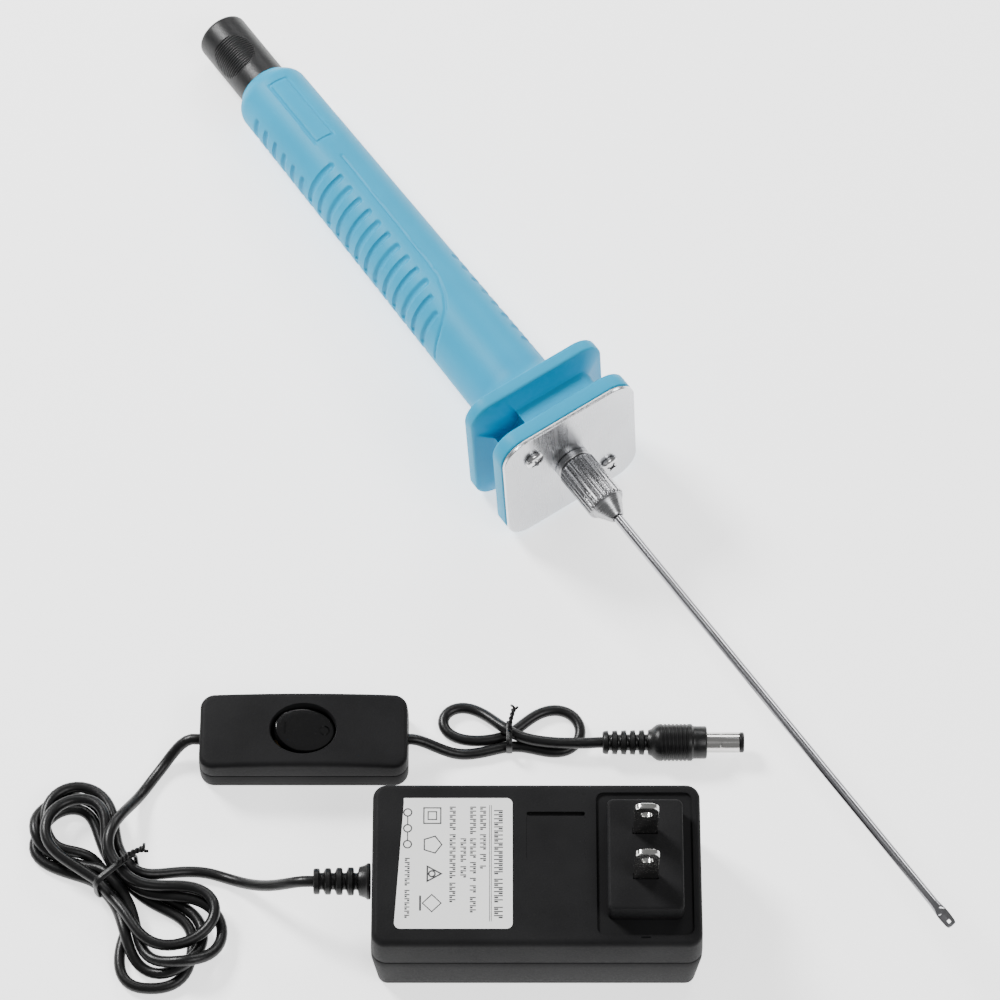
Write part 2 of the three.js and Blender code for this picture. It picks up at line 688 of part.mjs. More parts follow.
const bladeSlots = (clearance) => [-1, 1].map((side) => block(
  BLADE_WIDTH + 2 * clearance, BLADE_THICKNESS + 2 * clearance, BLOCK_HEIGHT + 12,
  blockX, side * BLADE_SPACING / 2, bladeFoot - 1,
));

const reliefHole = () =>
  disc(reliefRadius - 1.4 + SEAT, -half.x - 1, -half.x + ADAPTER_WALL + 1, 20)
    .rotateY(Math.PI / 2)
    .translate(0, 0, PARTING_HEIGHT);

function notchedCorner() {
  return block(4, 4, 1, labelX - LABEL_LENGTH / 2 - 0.3, LABEL_DEPTH / 2 + 0.3, ADAPTER_HEIGHT - 0.5)
    .translate(-0.6, 0.6, 0);
}

piece(hotWireCutter, 'adapter_top_shell', cut(
  loft([
    adapterRing(0, PARTING_HEIGHT + SEAT), adapterRing(0.3, ADAPTER_HEIGHT - 2.2),
    adapterRing(0.9, ADAPTER_HEIGHT - 0.7), adapterRing(1.8, ADAPTER_HEIGHT),
  ]),
  loft([
    adapterRing(ADAPTER_WALL, PARTING_HEIGHT - 1),
    adapterRing(ADAPTER_WALL, ADAPTER_HEIGHT - ADAPTER_WALL - 1),
  ]),
  slab(rounded(12.5, 20, 2, 0), 2, blockFloor).translate(blockX, 0, 0),
  slab(rounded(7.6, 7, 1.6, 0), 2, ADAPTER_HEIGHT - 0.4).translate(blockX - 23, 7.5, 0),
  block(2.4, 0.5, 1, blockX, -half.y + 2.2, ADAPTER_HEIGHT - 0.5),
  ...bladeSlots(SEAT),
  reliefHole(),
), BLACK);

function boardPosts() {
  const post = { x: half.x - 11, y: half.y - 9 };
  const places = [[-post.x, -post.y], [-post.x, post.y], [post.x, -post.y], [post.x, post.y]];
  return places.map(([x, y]) => disc(2, ADAPTER_WALL - 0.5, BOARD_HEIGHT - SEAT, 12).translate(x, y, 0));
}

piece(hotWireCutter, 'adapter_bottom_shell', join(
  cut(
    loft([
      adapterRing(DRAFT + 0.9, 0), adapterRing(DRAFT, 1), adapterRing(0, PARTING_HEIGHT - 3),
      adapterRing(0, PARTING_HEIGHT - SEAT),
    ]),
    loft([adapterRing(ADAPTER_WALL + DRAFT, ADAPTER_WALL), adapterRing(ADAPTER_WALL, PARTING_HEIGHT + 1)]),
    reliefHole(),
  ),
  ...boardPosts(),
), BLACK);

piece(hotWireCutter, 'adapter_plug_block', cut(
  loft([
    rounded(BLOCK_LENGTH / 2, BLOCK_DEPTH / 2, 1.6, blockFloor + SEAT),
    rounded(BLOCK_LENGTH / 2, BLOCK_DEPTH / 2, 1.6, blockTop - 1),
    rounded(BLOCK_LENGTH / 2 - 0.9, BLOCK_DEPTH / 2 - 0.9, 1, blockTop),
  ]).translate(blockX, 0, 0),
  ...bladeSlots(SEAT),
), BLACK);

function blade(side) {
  const halfWidth = BLADE_WIDTH / 2;
  const top = blockTop + BLADE_LENGTH;
  const outline = new THREE.Shape();
  outline.moveTo(-halfWidth, bladeFoot);
  outline.lineTo(halfWidth, bladeFoot);
  outline.lineTo(halfWidth, top - halfWidth * 0.5);
  outline.quadraticCurveTo(halfWidth, top, 0, top);
  outline.quadraticCurveTo(-halfWidth, top, -halfWidth, top - halfWidth * 0.5);
  const hole = new THREE.Path().absarc(0, top - 4.2, BLADE_HOLE_RADIUS, 0, 2 * Math.PI, true);
  outline.holes.push(hole);
  return new THREE.ExtrudeGeometry(outline, { depth: BLADE_THICKNESS, bevelEnabled: false, curveSegments: 6 })
    .translate(0, 0, -BLADE_THICKNESS / 2)
    .rotateX(Math.PI / 2)
    .translate(blockX, side * BLADE_SPACING / 2, 0);
}
piece(hotWireCutter, 'adapter_blade_front', blade(-1), NICKEL);
piece(hotWireCutter, 'adapter_blade_rear', blade(1), NICKEL);

piece(hotWireCutter, 'adapter_label', cut(
  slab(rounded(LABEL_LENGTH / 2, LABEL_DEPTH / 2, 2, 0), LABEL_THICKNESS, ADAPTER_HEIGHT)
    .translate(labelX, 0, 0),
  notchedCorner(),
), WHITE);

// A moulded strain relief along +X from x = 0: a flared foot, then rings that let it bend.
function relief(footRadius, ringRadius, necks, length) {
  const profile = [[0, 0], [footRadius, 0], [footRadius, 1], [ringRadius, 3]];
  const pitch = (length - 3) / necks;
  for (let i = 0; i < necks; i += 1) {
    const z = 3 + i * pitch;
    const outer = ringRadius - 0.12 * i;
    profile.push([CORD_RADIUS + 0.7, z + 0.1], [CORD_RADIUS + 0.7, z + pitch * 0.42],
      [outer, z + pitch * 0.45], [outer, z + pitch]);
  }
  profile.push([0, length]);
  return turned(profile, 14);
}

piece(hotWireCutter, 'adapter_strain_relief', join(
  relief(reliefRadius, 3.8, 4, RELIEF_LENGTH),
  disc(reliefRadius - 1.4, -ADAPTER_WALL - reliefSeat, 1, 16),
).translate(0, 0, FIT).rotateY(-Math.PI / 2).translate(-half.x, 0, PARTING_HEIGHT), BLACK);

const boardTop = BOARD_HEIGHT + BOARD_THICKNESS;
piece(hotWireCutter, 'circuit_board', block(
  ADAPTER_LENGTH - 14, ADAPTER_DEPTH - 10, BOARD_THICKNESS, 0, 0, BOARD_HEIGHT,
), BOARD);
piece(hotWireCutter, 'transformer', join(
  block(20, 16, 4, 4, 0, boardTop),
  block(14, 22, 10, 4, 0, boardTop + 3),
  block(20, 16, 4, 4, 0, boardTop + 12),
), YELLOW);
const can = (radius, height, x, y) => turned([
  [0, boardTop], [radius, boardTop], [radius, boardTop + height - 0.6],
  [radius - 0.6, boardTop + height], [0, boardTop + height],
], 20).translate(x, y, 0);
piece(hotWireCutter, 'bulk_capacitor', can(5, 15, 24, 8), DARK);
piece(hotWireCutter, 'output_capacitor', can(4, 12, -18, -8), DARK);

// ---------------------------------------------------------------- inline switch

const switchFrame = new THREE.Group();
switchFrame.position.set(SWITCH_X, SWITCH_Y, 0);
hotWireCutter.add(switchFrame);

const switchSplit = SWITCH_HEIGHT / 2;
const switchRing = (inset, z) =>
  rounded(SWITCH_LENGTH / 2 - inset, SWITCH_DEPTH / 2 - inset, Math.max(4 - inset, 1), z);

// The top is gently arched along the switch.
function archedTop() {
  const half = SWITCH_LENGTH / 2 + 1;
  const shape = new THREE.Shape();
  shape.moveTo(-half, 0);
  shape.lineTo(half, 0);
  shape.lineTo(half, SWITCH_HEIGHT - 1.6);
  shape.quadraticCurveTo(0, SWITCH_HEIGHT + 1.6, -half, SWITCH_HEIGHT - 1.6);
  return new THREE.ExtrudeGeometry(shape, { depth: SWITCH_DEPTH + 2, bevelEnabled: false, curveSegments: 8 })
    .rotateX(Math.PI / 2)
    .translate(0, SWITCH_DEPTH / 2 + 1, 0);
}

const screwPost = { x: SWITCH_LENGTH / 2 - 7, radius: 2.4, bore: 1.1 };
const switchPosts = (from, to) => [-1, 1].map((side) =>
  disc(screwPost.radius, from, to, 12).translate(side * screwPost.x, 0, 0));
const switchBores = (from, to) => [-1, 1].map((side) =>
  disc(screwPost.bore, from, to, 10).translate(side * screwPost.x, 0, 0));

piece(switchFrame, 'switch_top_shell', cut(
  join(
    cut(
      common(
        loft([
          switchRing(0, switchSplit + SEAT / 2), switchRing(0.2, SWITCH_HEIGHT - 2),
          switchRing(0.7, SWITCH_HEIGHT - 0.7), switchRing(1.6, SWITCH_HEIGHT + 0.2),
        ]),
        archedTop(),
      ),
      loft([
        switchRing(SWITCH_WALL, switchSplit - 1),
        switchRing(SWITCH_WALL, SWITCH_HEIGHT - SWITCH_WALL - 1),
      ]),
    ),
    ...switchPosts(switchSplit + SEAT / 2, SWITCH_HEIGHT - SWITCH_WALL),
  ),
  slab(
    oval(ROCKER_HALF_LENGTH + ROCKER_GAP, ROCKER_HALF_WIDTH + ROCKER_GAP, 0),
    SWITCH_HEIGHT,
    switchSplit - 1,
  ),
  ...switchBores(switchSplit - 1, SWITCH_HEIGHT - SWITCH_WALL - 1.4),
), BLACK);

piece(switchFrame, 'switch_bottom_shell', cut(
  join(
    cut(
      loft([
        switchRing(1, 0), switchRing(0.3, 0.7), switchRing(0, 2),
        switchRing(0, switchSplit - SEAT / 2),
      ]),
      loft([switchRing(SWITCH_WALL, SWITCH_WALL), switchRing(SWITCH_WALL, switchSplit + 1)]),
    ),
    ...switchPosts(SWITCH_WALL - 0.5, switchSplit - SEAT / 2),
  ),
  ...switchBores(-1, switchSplit + 1),
  ...[-1, 1].map((side) => disc(2, -1, 1.2, 12).translate(side * screwPost.x, 0, 0)),
), BLACK);

[-1, 1].forEach((side) => {
  const screw = turned([
    [0, 0.3], [1.7, 0.3], [1.7, 1.1], [screwPost.bore - SEAT, 1.1],
    [screwPost.bore - SEAT, SWITCH_HEIGHT - SWITCH_WALL - 2], [0, SWITCH_HEIGHT - SWITCH_WALL - 1.6],
  ], 12).translate(side * screwPost.x, 0, 0);
  piece(switchFrame, side < 0 ? 'switch_screw_left' : 'switch_screw_right', screw, GREY_STEEL);
});

// The rocker turns about Y. Its pivot pin runs in the rocker and stops at the shell's walls.
function rockerShape() {
  const profile = new THREE.Shape();
  profile.moveTo(-ROCKER_HALF_LENGTH - 1, 3.2);
  profile.quadraticCurveTo(0, 0.9, ROCKER_HALF_LENGTH + 1, 3.2);
  profile.lineTo(ROCKER_HALF_LENGTH + 1, 0.2);
  profile.lineTo(3, -2.2);
  profile.lineTo(-3, -2.2);
  profile.lineTo(-ROCKER_HALF_LENGTH - 1, 0.2);
  const settings = { depth: 2 * ROCKER_HALF_WIDTH + 2, bevelEnabled: false, curveSegments: 8 };
  const wide = new THREE.ExtrudeGeometry(profile, settings)
    .rotateX(Math.PI / 2)
    .translate(0, ROCKER_HALF_WIDTH + 1, 0);
  const body = slab(oval(ROCKER_HALF_LENGTH, ROCKER_HALF_WIDTH, 0, 28), 8, -3);
  return common(body, wide);
}
const rocker = piece(switchFrame, 'switch_rocker', rockerShape(), BLACK);
rocker.position.set(0, 0, ROCKER_PIVOT);
rocker.rotation.y = THREE.MathUtils.degToRad(ROCKER_TILT);

const contactFloor = SWITCH_WALL + SEAT;
[-1, 1].forEach((side) => {
  const strip = join(
    block(10, 4, 0.6, side * 9, 0, contactFloor),
    block(0.6, 4, 4, side * 4.5, 0, contactFloor),
  );
  piece(switchFrame, side < 0 ? 'switch_contact_in' : 'switch_contact_out', strip, BRASS);
});

// ---------------------------------------------------------------- DC plug

const loopX = SWITCH_X + SWITCH_LENGTH / 2 + LOOP_REACH;
const plugX = loopX + PLUG_OFFSET;
const plugFrame = new THREE.Group();
plugFrame.position.set(plugX, SWITCH_Y, PLUG_GRIP_RADIUS);
plugFrame.rotation.y = Math.PI / 2;
hotWireCutter.add(plugFrame);

function plugBody() {
  const profile = [[0, 0], [2.6, 0], [3.1, 0.4]];
  const necks = 5;
  const pitch = PLUG_RELIEF / necks;
  for (let i = 0; i < necks; i += 1) {
    const z = 0.4 + i * pitch;
    profile.push([3.2, z + pitch * 0.5], [CORD_RADIUS + 0.7, z + pitch * 0.55],
      [CORD_RADIUS + 0.7, z + pitch * 0.9], [3.3, z + pitch * 0.95]);
  }
  const grip = PLUG_RELIEF + 1;
  const end = PLUG_RELIEF + PLUG_GRIP;
  profile.push([4.2, grip + 0.6], [PLUG_GRIP_RADIUS, grip + 2.4], [PLUG_GRIP_RADIUS, end - 4],
    [4.4, end - 3.6], [4.4, end], [0, end]);
  return turned(profile, 20);
}

const plugFace = PLUG_RELIEF + PLUG_GRIP;
const barrelEnd = plugFace + PLUG_BARREL;
const barrelBore = PLUG_BARREL_RADIUS - 0.45;
piece(plugFrame, 'dc_plug_body', cut(
  plugBody(),
  disc(PLUG_BARREL_RADIUS + SEAT, plugFace - 4, plugFace + 1, 20),
), BLACK);
piece(plugFrame, 'dc_plug_barrel',
  pipe(barrelBore, PLUG_BARREL_RADIUS, plugFace - 3.8, barrelEnd - 1.2, 24), NICKEL);
piece(plugFrame, 'dc_plug_tip', cut(
  join(
    disc(PLUG_BARREL_RADIUS, barrelEnd - 1.1, barrelEnd, 24),
    disc(barrelBore - SEAT, plugFace - 3.7, barrelEnd - 0.5, 24),
  ),
  disc(1.25 + SEAT, plugFace - 5, barrelEnd + 1, 16),
), DARK);
piece(plugFrame, 'dc_plug_contact', pipe(1.05, 1.25, plugFace - 3.7, barrelEnd - 1.5, 16), BRASS);

// ---------------------------------------------------------------- cord

const at = ([x, y, z]) => new THREE.Vector3(x, y, z);
const cord = (parent, name, route, steps) =>
  piece(parent, name, tube(route.map(at), CORD_RADIUS, 8, steps), BLACK);

const hankFrame = new THREE.Group();
hankFrame.position.x = -half.x;
hotWireCutter.add(hankFrame);

const reliefEnd = -RELIEF_LENGTH - 2 * FIT;
const switchLeft = SWITCH_X - SWITCH_LENGTH / 2 - FIT;
const switchRight = SWITCH_X + SWITCH_LENGTH / 2 + FIT;
const straight = 2;              // a cord leaves its housing straight for this far

cord(hankFrame, 'cord_adapter_to_hank', [
  [reliefEnd, 0, PARTING_HEIGHT], [reliefEnd - straight, 0, PARTING_HEIGHT], [-22, 0.6, 16],
  [-27, 2, 11.4], [-32, 4.2, 7], [-37, 6.8, 3.4], [-42, 9, CORD_HEIGHT], [-47, 10.2, 2.2],
  [-52, 10.4, 3.6], [-56, 10.1, 4.8], [-60.2, 9.6, 5.4],
], 16);

const hankExit = { x: -half.x - 65.05, y: 14.8, z: 5.4 };
const switchEntry = { x: switchLeft - straight, y: SWITCH_Y, z: switchSplit };
const bowed = [
  [0.104, 0, 5], [0.253, -1.5, 3.2], [0.416, -3.6, CORD_HEIGHT], [0.597, -4.9, CORD_HEIGHT],
  [0.766, -4.7, 2], [0.903, -3.2, 3.6], [0.981, -1.4, 5.6],
].map(([part, bow, z]) => [
  THREE.MathUtils.lerp(hankExit.x, switchEntry.x, part) + bow,
  THREE.MathUtils.lerp(hankExit.y, switchEntry.y, part),
  z,
]);
cord(hotWireCutter, 'cord_hank_to_switch', [
  [hankExit.x, hankExit.y, hankExit.z],
  ...bowed,
  [switchEntry.x, switchEntry.y, switchEntry.z],
  [switchLeft, SWITCH_Y, switchSplit],
], 14);
cord(hotWireCutter, 'cord_switch_to_loop', [
  [switchRight, SWITCH_Y, switchSplit], [switchRight + straight, SWITCH_Y, 6.8],
  [loopX - LOOP_HALF_LENGTH - 2 * FIT, SWITCH_Y, 5.6],
], 3);
cord(hotWireCutter, 'cord_loop_to_plug', [
  [loopX + LOOP_HALF_LENGTH + FIT, SWITCH_Y, PLUG_GRIP_RADIUS],
  [plugX - FIT, SWITCH_Y, PLUG_GRIP_RADIUS],
], 1);

// The wound length between the adapter and the switch: two lobes on each side of a tied waist.
const [lobeA, lobeB] = HANK_LOBES;
const hankRun = new THREE.Vector2(lobeB.x - lobeA.x, lobeB.y - lobeA.y);
const hankAngle = hankRun.angle();
const hankTop = HANK_BASE + HANK_HEIGHT;
const lobe = ({ x, y, halfX, halfY }) =>
  slab(oval(halfX, halfY, 0, 28), HANK_HEIGHT, HANK_BASE, 1).translate(x, y, 0);
const waist = block(hankRun.length(), 2 * HANK_WAIST, HANK_HEIGHT, 0, 0, HANK_BASE)
  .rotateZ(hankAngle)
  .translate((lobeA.x + lobeB.x) / 2, (lobeA.y + lobeB.y) / 2, 0);
piece(hankFrame, 'cord_hank', join(lobe(lobeA), lobe(lobeB), waist), BLACK);

function hankTie() {
  const inner = HANK_WAIST + FIT;
  const outer = inner + TIE_THICKNESS;
  const band = cut(
    block(
      TIE_WIDTH, 2 * outer, HANK_HEIGHT + 2 * (FIT + TIE_THICKNESS),
      0, 0, HANK_BASE - FIT - TIE_THICKNESS,
    ),
    block(TIE_WIDTH + 1, 2 * inner, HANK_HEIGHT + 2 * FIT, 0, 0, HANK_BASE - FIT),
  );
  const tail = block(TIE_WIDTH, 9, TIE_THICKNESS * 2, 0, outer - 2, hankTop + FIT + TIE_THICKNESS / 2);
  return join(band, tail).rotateZ(hankAngle);
}
piece(hankFrame, 'hank_tie', hankTie().translate(HANK_TIE.x, HANK_TIE.y, 0), DARK);

// The short wound length before the plug, with its tie on top.
piece(hotWireCutter, 'cord_loop', slab(
  rounded(LOOP_HALF_LENGTH, LOOP_HALF_WIDTH, 3, 0), LOOP_HEIGHT, 0.1, 0.8,
).translate(loopX, SWITCH_Y + LOOP_OFFSET, 0), BLACK);
piece(hotWireCutter, 'loop_tie', block(
  TIE_WIDTH, 2 * LOOP_HALF_WIDTH - 4, TIE_THICKNESS * 2,
  loopX, SWITCH_Y + LOOP_OFFSET, LOOP_HEIGHT + 0.1 + FIT,
), DARK);

export default hotWireCutter;
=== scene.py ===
import json
import math

import bmesh
import bpy
import numpy as np
from mathutils import Matrix, Vector


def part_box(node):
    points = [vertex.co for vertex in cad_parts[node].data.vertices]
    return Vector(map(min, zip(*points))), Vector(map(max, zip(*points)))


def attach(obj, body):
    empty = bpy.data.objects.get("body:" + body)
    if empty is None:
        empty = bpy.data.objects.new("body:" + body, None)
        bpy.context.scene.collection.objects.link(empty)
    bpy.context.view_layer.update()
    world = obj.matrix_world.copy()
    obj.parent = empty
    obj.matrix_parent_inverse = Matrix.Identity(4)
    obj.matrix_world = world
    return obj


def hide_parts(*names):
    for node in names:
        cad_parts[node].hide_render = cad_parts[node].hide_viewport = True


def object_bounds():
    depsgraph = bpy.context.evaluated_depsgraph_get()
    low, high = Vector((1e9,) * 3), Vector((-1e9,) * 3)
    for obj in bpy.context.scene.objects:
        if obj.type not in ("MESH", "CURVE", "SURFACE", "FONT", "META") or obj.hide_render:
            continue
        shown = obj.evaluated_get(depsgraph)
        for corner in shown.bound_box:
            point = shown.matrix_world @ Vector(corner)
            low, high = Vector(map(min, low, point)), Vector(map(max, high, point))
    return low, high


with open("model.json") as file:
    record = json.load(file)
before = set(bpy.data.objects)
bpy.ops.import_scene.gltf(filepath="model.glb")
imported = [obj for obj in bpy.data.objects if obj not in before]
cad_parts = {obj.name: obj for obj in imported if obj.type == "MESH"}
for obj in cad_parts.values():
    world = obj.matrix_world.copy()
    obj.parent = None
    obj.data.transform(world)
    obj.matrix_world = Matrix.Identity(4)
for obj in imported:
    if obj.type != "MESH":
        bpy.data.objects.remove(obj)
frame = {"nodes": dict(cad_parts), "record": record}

MM = 0.001
cad_low, cad_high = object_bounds()

# ---------------------------------------------------------------- frame values, in millimetres

joints = {j["name"]: j for j in frame["record"]["behaviour"]["joints"]}
PEN_AXIS = Vector(joints["nut_turn"]["axis"]).normalized()
PEN_SIDE = Vector((-PEN_AXIS.y, PEN_AXIS.x, 0)).normalized()
PEN_UP = PEN_AXIS.cross(PEN_SIDE)
NUT_STATION = 165.0                      # where nut_turn's point lies, from the handle's rear face
PEN_ORIGIN = Vector(joints["nut_turn"]["pos_m"]) / MM - NUT_STATION * PEN_AXIS
PEN_FRAME = Matrix((
    (PEN_SIDE.x, PEN_UP.x, PEN_AXIS.x, PEN_ORIGIN.x * MM),
    (PEN_SIDE.y, PEN_UP.y, PEN_AXIS.y, PEN_ORIGIN.y * MM),
    (PEN_SIDE.z, PEN_UP.z, PEN_AXIS.z, PEN_ORIGIN.z * MM),
    (0, 0, 0, 1),
))


def cad_box(node):
    low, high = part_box(node)
    return Vector(low) / MM, Vector(high) / MM


_, ADAPTER_HIGH = cad_box("adapter_top_shell")
SWITCH_LOW, _ = cad_box("switch_bottom_shell")
_, SWITCH_HIGH = cad_box("switch_top_shell")
PLUG_LOW, PLUG_HIGH = cad_box("dc_plug_body")
RELIEF_LOW, RELIEF_HIGH = cad_box("adapter_strain_relief")
BLOCK_LOW, BLOCK_HIGH = cad_box("adapter_plug_block")
LABEL_LOW, LABEL_HIGH = cad_box("adapter_label")

PARTING = cad_box("adapter_top_shell")[0].z - 0.1
RELIEF_Z = (RELIEF_LOW.z + RELIEF_HIGH.z) / 2
SWITCH_MID = (SWITCH_LOW + SWITCH_HIGH) / 2
PLUG_Y = (PLUG_LOW.y + PLUG_HIGH.y) / 2
PLUG_Z = (PLUG_LOW.z + PLUG_HIGH.z) / 2
CORD_RADIUS = 1.5

# ---------------------------------------------------------------- camera

CAMERA_ELEVATION = math.radians(62)
CAMERA_AZIMUTH = math.radians(0)
CAMERA_DISTANCE = 1.235
CAMERA_TARGET = Vector((-0.0095, 0.116, 0.012))
CAMERA_LENS = 162

camera_data = bpy.data.cameras.new("camera")
camera_data.lens = CAMERA_LENS
camera_data.sensor_width = 36
camera = bpy.data.objects.new("camera", camera_data)
bpy.context.scene.collection.objects.link(camera)
toward_camera = Vector((
    math.sin(CAMERA_AZIMUTH) * math.cos(CAMERA_ELEVATION),
    -math.cos(CAMERA_AZIMUTH) * math.cos(CAMERA_ELEVATION),
    math.sin(CAMERA_ELEVATION),
))
camera.location = CAMERA_TARGET + CAMERA_DISTANCE * toward_camera
camera.rotation_euler = (-toward_camera).to_track_quat("-Z", "Y").to_euler()
bpy.context.scene.camera = camera

# ---------------------------------------------------------------- materials

LONG_BRUSH = (1, 1, 0.02)                # streaks along the pen
ROUND_BRUSH = (0.06, 0.06, 1)            # turning marks around the pen
PLATE_BRUSH = (1, 0.04, 1)               # brushing across the guard plate
PEN_STRETCHES = (LONG_BRUSH, ROUND_BRUSH, PLATE_BRUSH)


def principled(name):
    material = bpy.data.materials.new(name)
    material.use_nodes = True
    tree = material.node_tree
    return material, tree, tree.nodes["Principled BSDF"]


def noise(tree, scale, detail=3.0, stretch=(1, 1, 1)):
    """A noise texture in object coordinates; scale is features per metre. Stretched along the pen's axes."""
    coords = tree.nodes.new("ShaderNodeTexCoord")
    turning = tree.nodes.new("ShaderNodeMapping")
    if stretch in PEN_STRETCHES:
        turning.inputs["Rotation"].default_value = PEN_FRAME.to_3x3().inverted().to_euler()
    mapping = tree.nodes.new("ShaderNodeMapping")
    mapping.inputs["Scale"].default_value = stretch
    texture = tree.nodes.new("ShaderNodeTexNoise")
    texture.inputs["Scale"].default_value = scale
    texture.inputs["Detail"].default_value = detail
    tree.links.new(coords.outputs["Object"], turning.inputs["Vector"])
    tree.links.new(turning.outputs["Vector"], mapping.inputs["Vector"])
    tree.links.new(mapping.outputs["Vector"], texture.inputs["Vector"])
    return texture.outputs["Fac"]


def spread(tree, value, low, high):
    """Maps the middle of a noise onto a range."""
    ranger = tree.nodes.new("ShaderNodeMapRange")
    ranger.inputs["From Min"].default_value = 0.3
    ranger.inputs["From Max"].default_value = 0.7
    ranger.inputs["To Min"].default_value = low
    ranger.inputs["To Max"].default_value = high
    tree.links.new(value, ranger.inputs["Value"])
    return ranger.outputs["Result"]


def tinted(tree, value, dark, light):
    ramp = tree.nodes.new("ShaderNodeValToRGB")
    ramp.color_ramp.elements[0].position = 0.3
    ramp.color_ramp.elements[0].color = (*dark, 1)
    ramp.color_ramp.elements[1].position = 0.7
    ramp.color_ramp.elements[1].color = (*light, 1)
    tree.links.new(value, ramp.inputs["Fac"])
    return ramp.outputs["Color"]


def bumped(tree, shader, height, distance, strength):
    bump = tree.nodes.new("ShaderNodeBump")
    bump.inputs["Distance"].default_value = distance
    bump.inputs["Strength"].default_value = strength
    tree.links.new(height, bump.inputs["Height"])
    tree.links.new(bump.outputs["Normal"], shader.inputs["Normal"])


def finish_material(name, color, variation, roughness, rough_spread, grain, grain_depth,
                    metallic=0.0, grain_stretch=(1, 1, 1), specular=0.5):
    """Colour and roughness drift slowly over the surface; the grain is a fine bump."""
    material, tree, shader = principled(name)
    slow = noise(tree, 60, 3)
    dark = tuple(max(0.0, c * (1 - variation)) for c in color)
    light = tuple(min(1.0, c * (1 + variation)) for c in color)
    tree.links.new(tinted(tree, slow, dark, light), shader.inputs["Base Color"])
    fine = noise(tree, grain, 4, grain_stretch)
    tree.links.new(
        spread(tree, fine, roughness - rough_spread, roughness + rough_spread),
        shader.inputs["Roughness"],
    )
    bumped(tree, shader, fine, grain_depth, 1.0)
    shader.inputs["Metallic"].default_value = metallic
    shader.inputs["Specular IOR Level"].default_value = specular
    return material


CYAN = finish_material("cyan_plastic", (0.0, 0.3, 0.51), 0.04, 0.45, 0.05, 2600, 0.00003,
                       specular=0.14)
SLEEVE_BLACK = finish_material("sleeve_black", (0.006, 0.006, 0.0065), 0.2, 0.42, 0.08, 3000, 0.00003,
                               specular=0.3)
ADAPTER_BLACK = finish_material("adapter_black", (0.014, 0.014, 0.0145), 0.15, 0.5, 0.06, 2400, 0.00006,
                                specular=0.03)
SWITCH_BLACK = finish_material("switch_black", (0.014, 0.014, 0.0145), 0.15, 0.45, 0.06, 2600, 0.00005,
                               specular=0.03)
ROCKER_BLACK = finish_material("rocker_black", (0.004, 0.004, 0.0042), 0.1, 0.16, 0.04, 1500, 0.00001,
                               specular=0.4)
CORD_BLACK = finish_material("cord_black", (0.005, 0.005, 0.0052), 0.15, 0.36, 0.06, 1800, 0.00003,
                             specular=0.3)
TIE_BLACK = finish_material("tie_black", (0.005, 0.005, 0.0052), 0.1, 0.4, 0.08, 1800, 0.00003,
                            specular=0.3)
PLATE_STEEL = finish_material("plate_steel", (0.62, 0.63, 0.65), 0.05, 0.26, 0.06, 900, 0.00001,
                              1.0, PLATE_BRUSH)
SCREW_STEEL = finish_material("screw_steel", (0.6, 0.6, 0.61), 0.05, 0.16, 0.05, 1500, 0.00001, 1.0)
NUT_STEEL = finish_material("nut_steel", (0.36, 0.36, 0.37), 0.1, 0.26, 0.08, 1800, 0.00002, 1.0, ROUND_BRUSH)
NEEDLE_STEEL = finish_material("needle_steel", (0.34, 0.34, 0.355), 0.08, 0.2, 0.06, 3000, 0.00001,
                               1.0, LONG_BRUSH)
NICKEL = finish_material("nickel", (0.6, 0.595, 0.58), 0.04, 0.17, 0.05, 1500, 0.00001, 1.0, (0.05, 1, 1))
BRASS = finish_material("brass", (0.72, 0.5, 0.2), 0.08, 0.3, 0.08, 1500, 0.00001, 1.0)
WHITE_PLASTIC = finish_material("white_plastic", (0.8, 0.8, 0.78), 0.03, 0.5, 0.05, 1800, 0.00002)
CERAMIC = finish_material("ceramic", (0.76, 0.73, 0.65), 0.05, 0.75, 0.08, 2500, 0.00004)
BOARD_GREEN = finish_material("board_green", (0.03, 0.17, 0.07), 0.12, 0.4, 0.08, 900, 0.00003)
TAPE_YELLOW = finish_material("tape_yellow", (0.75, 0.5, 0.06), 0.08, 0.35, 0.06, 900, 0.00003)
CAN_SLEEVE = finish_material("can_sleeve", (0.02, 0.02, 0.035), 0.1, 0.3, 0.05, 900, 0.00002)
WIRE_RED = finish_material("wire_red", (0.5, 0.03, 0.02), 0.08, 0.4, 0.05, 1200, 0.00002)
WIRE_BLACK = finish_material("wire_black", (0.02, 0.02, 0.02), 0.1, 0.4, 0.05, 1200, 0.00002)
LABEL_WHITE = finish_material("label_white", (0.86, 0.86, 0.85), 0.02, 0.42, 0.04, 1800, 0.00002)
LABEL_INK = finish_material("label_ink", (0.02, 0.02, 0.022), 0.1, 0.5, 0.05, 1800, 0.00001)

CAD_LOOKS = {
    "jack_insulator": WHITE_PLASTIC, "jack_centre_pin": NICKEL, "jack_side_contact": NICKEL,
    "pen_wire_positive": WIRE_RED, "pen_wire_negative": WIRE_BLACK, "insulating_sheet": WHITE_PLASTIC,
    "chuck_post": NUT_STEEL, "insulating_bush": CERAMIC, "collet": BRASS, "heater_core": CERAMIC,
    "circuit_board": BOARD_GREEN, "transformer": TAPE_YELLOW,
    "bulk_capacitor": CAN_SLEEVE, "output_capacitor": CAN_SLEEVE, "switch_screw_left": SCREW_STEEL,
    "switch_screw_right": SCREW_STEEL, "switch_contact_in": BRASS, "switch_contact_out": BRASS,
    "dc_plug_contact": BRASS,
}
for node, look in CAD_LOOKS.items():
    cad_mesh = frame["nodes"][node].data
    cad_mesh.materials.clear()
    cad_mesh.materials.append(look)

# ---------------------------------------------------------------- mesh helpers


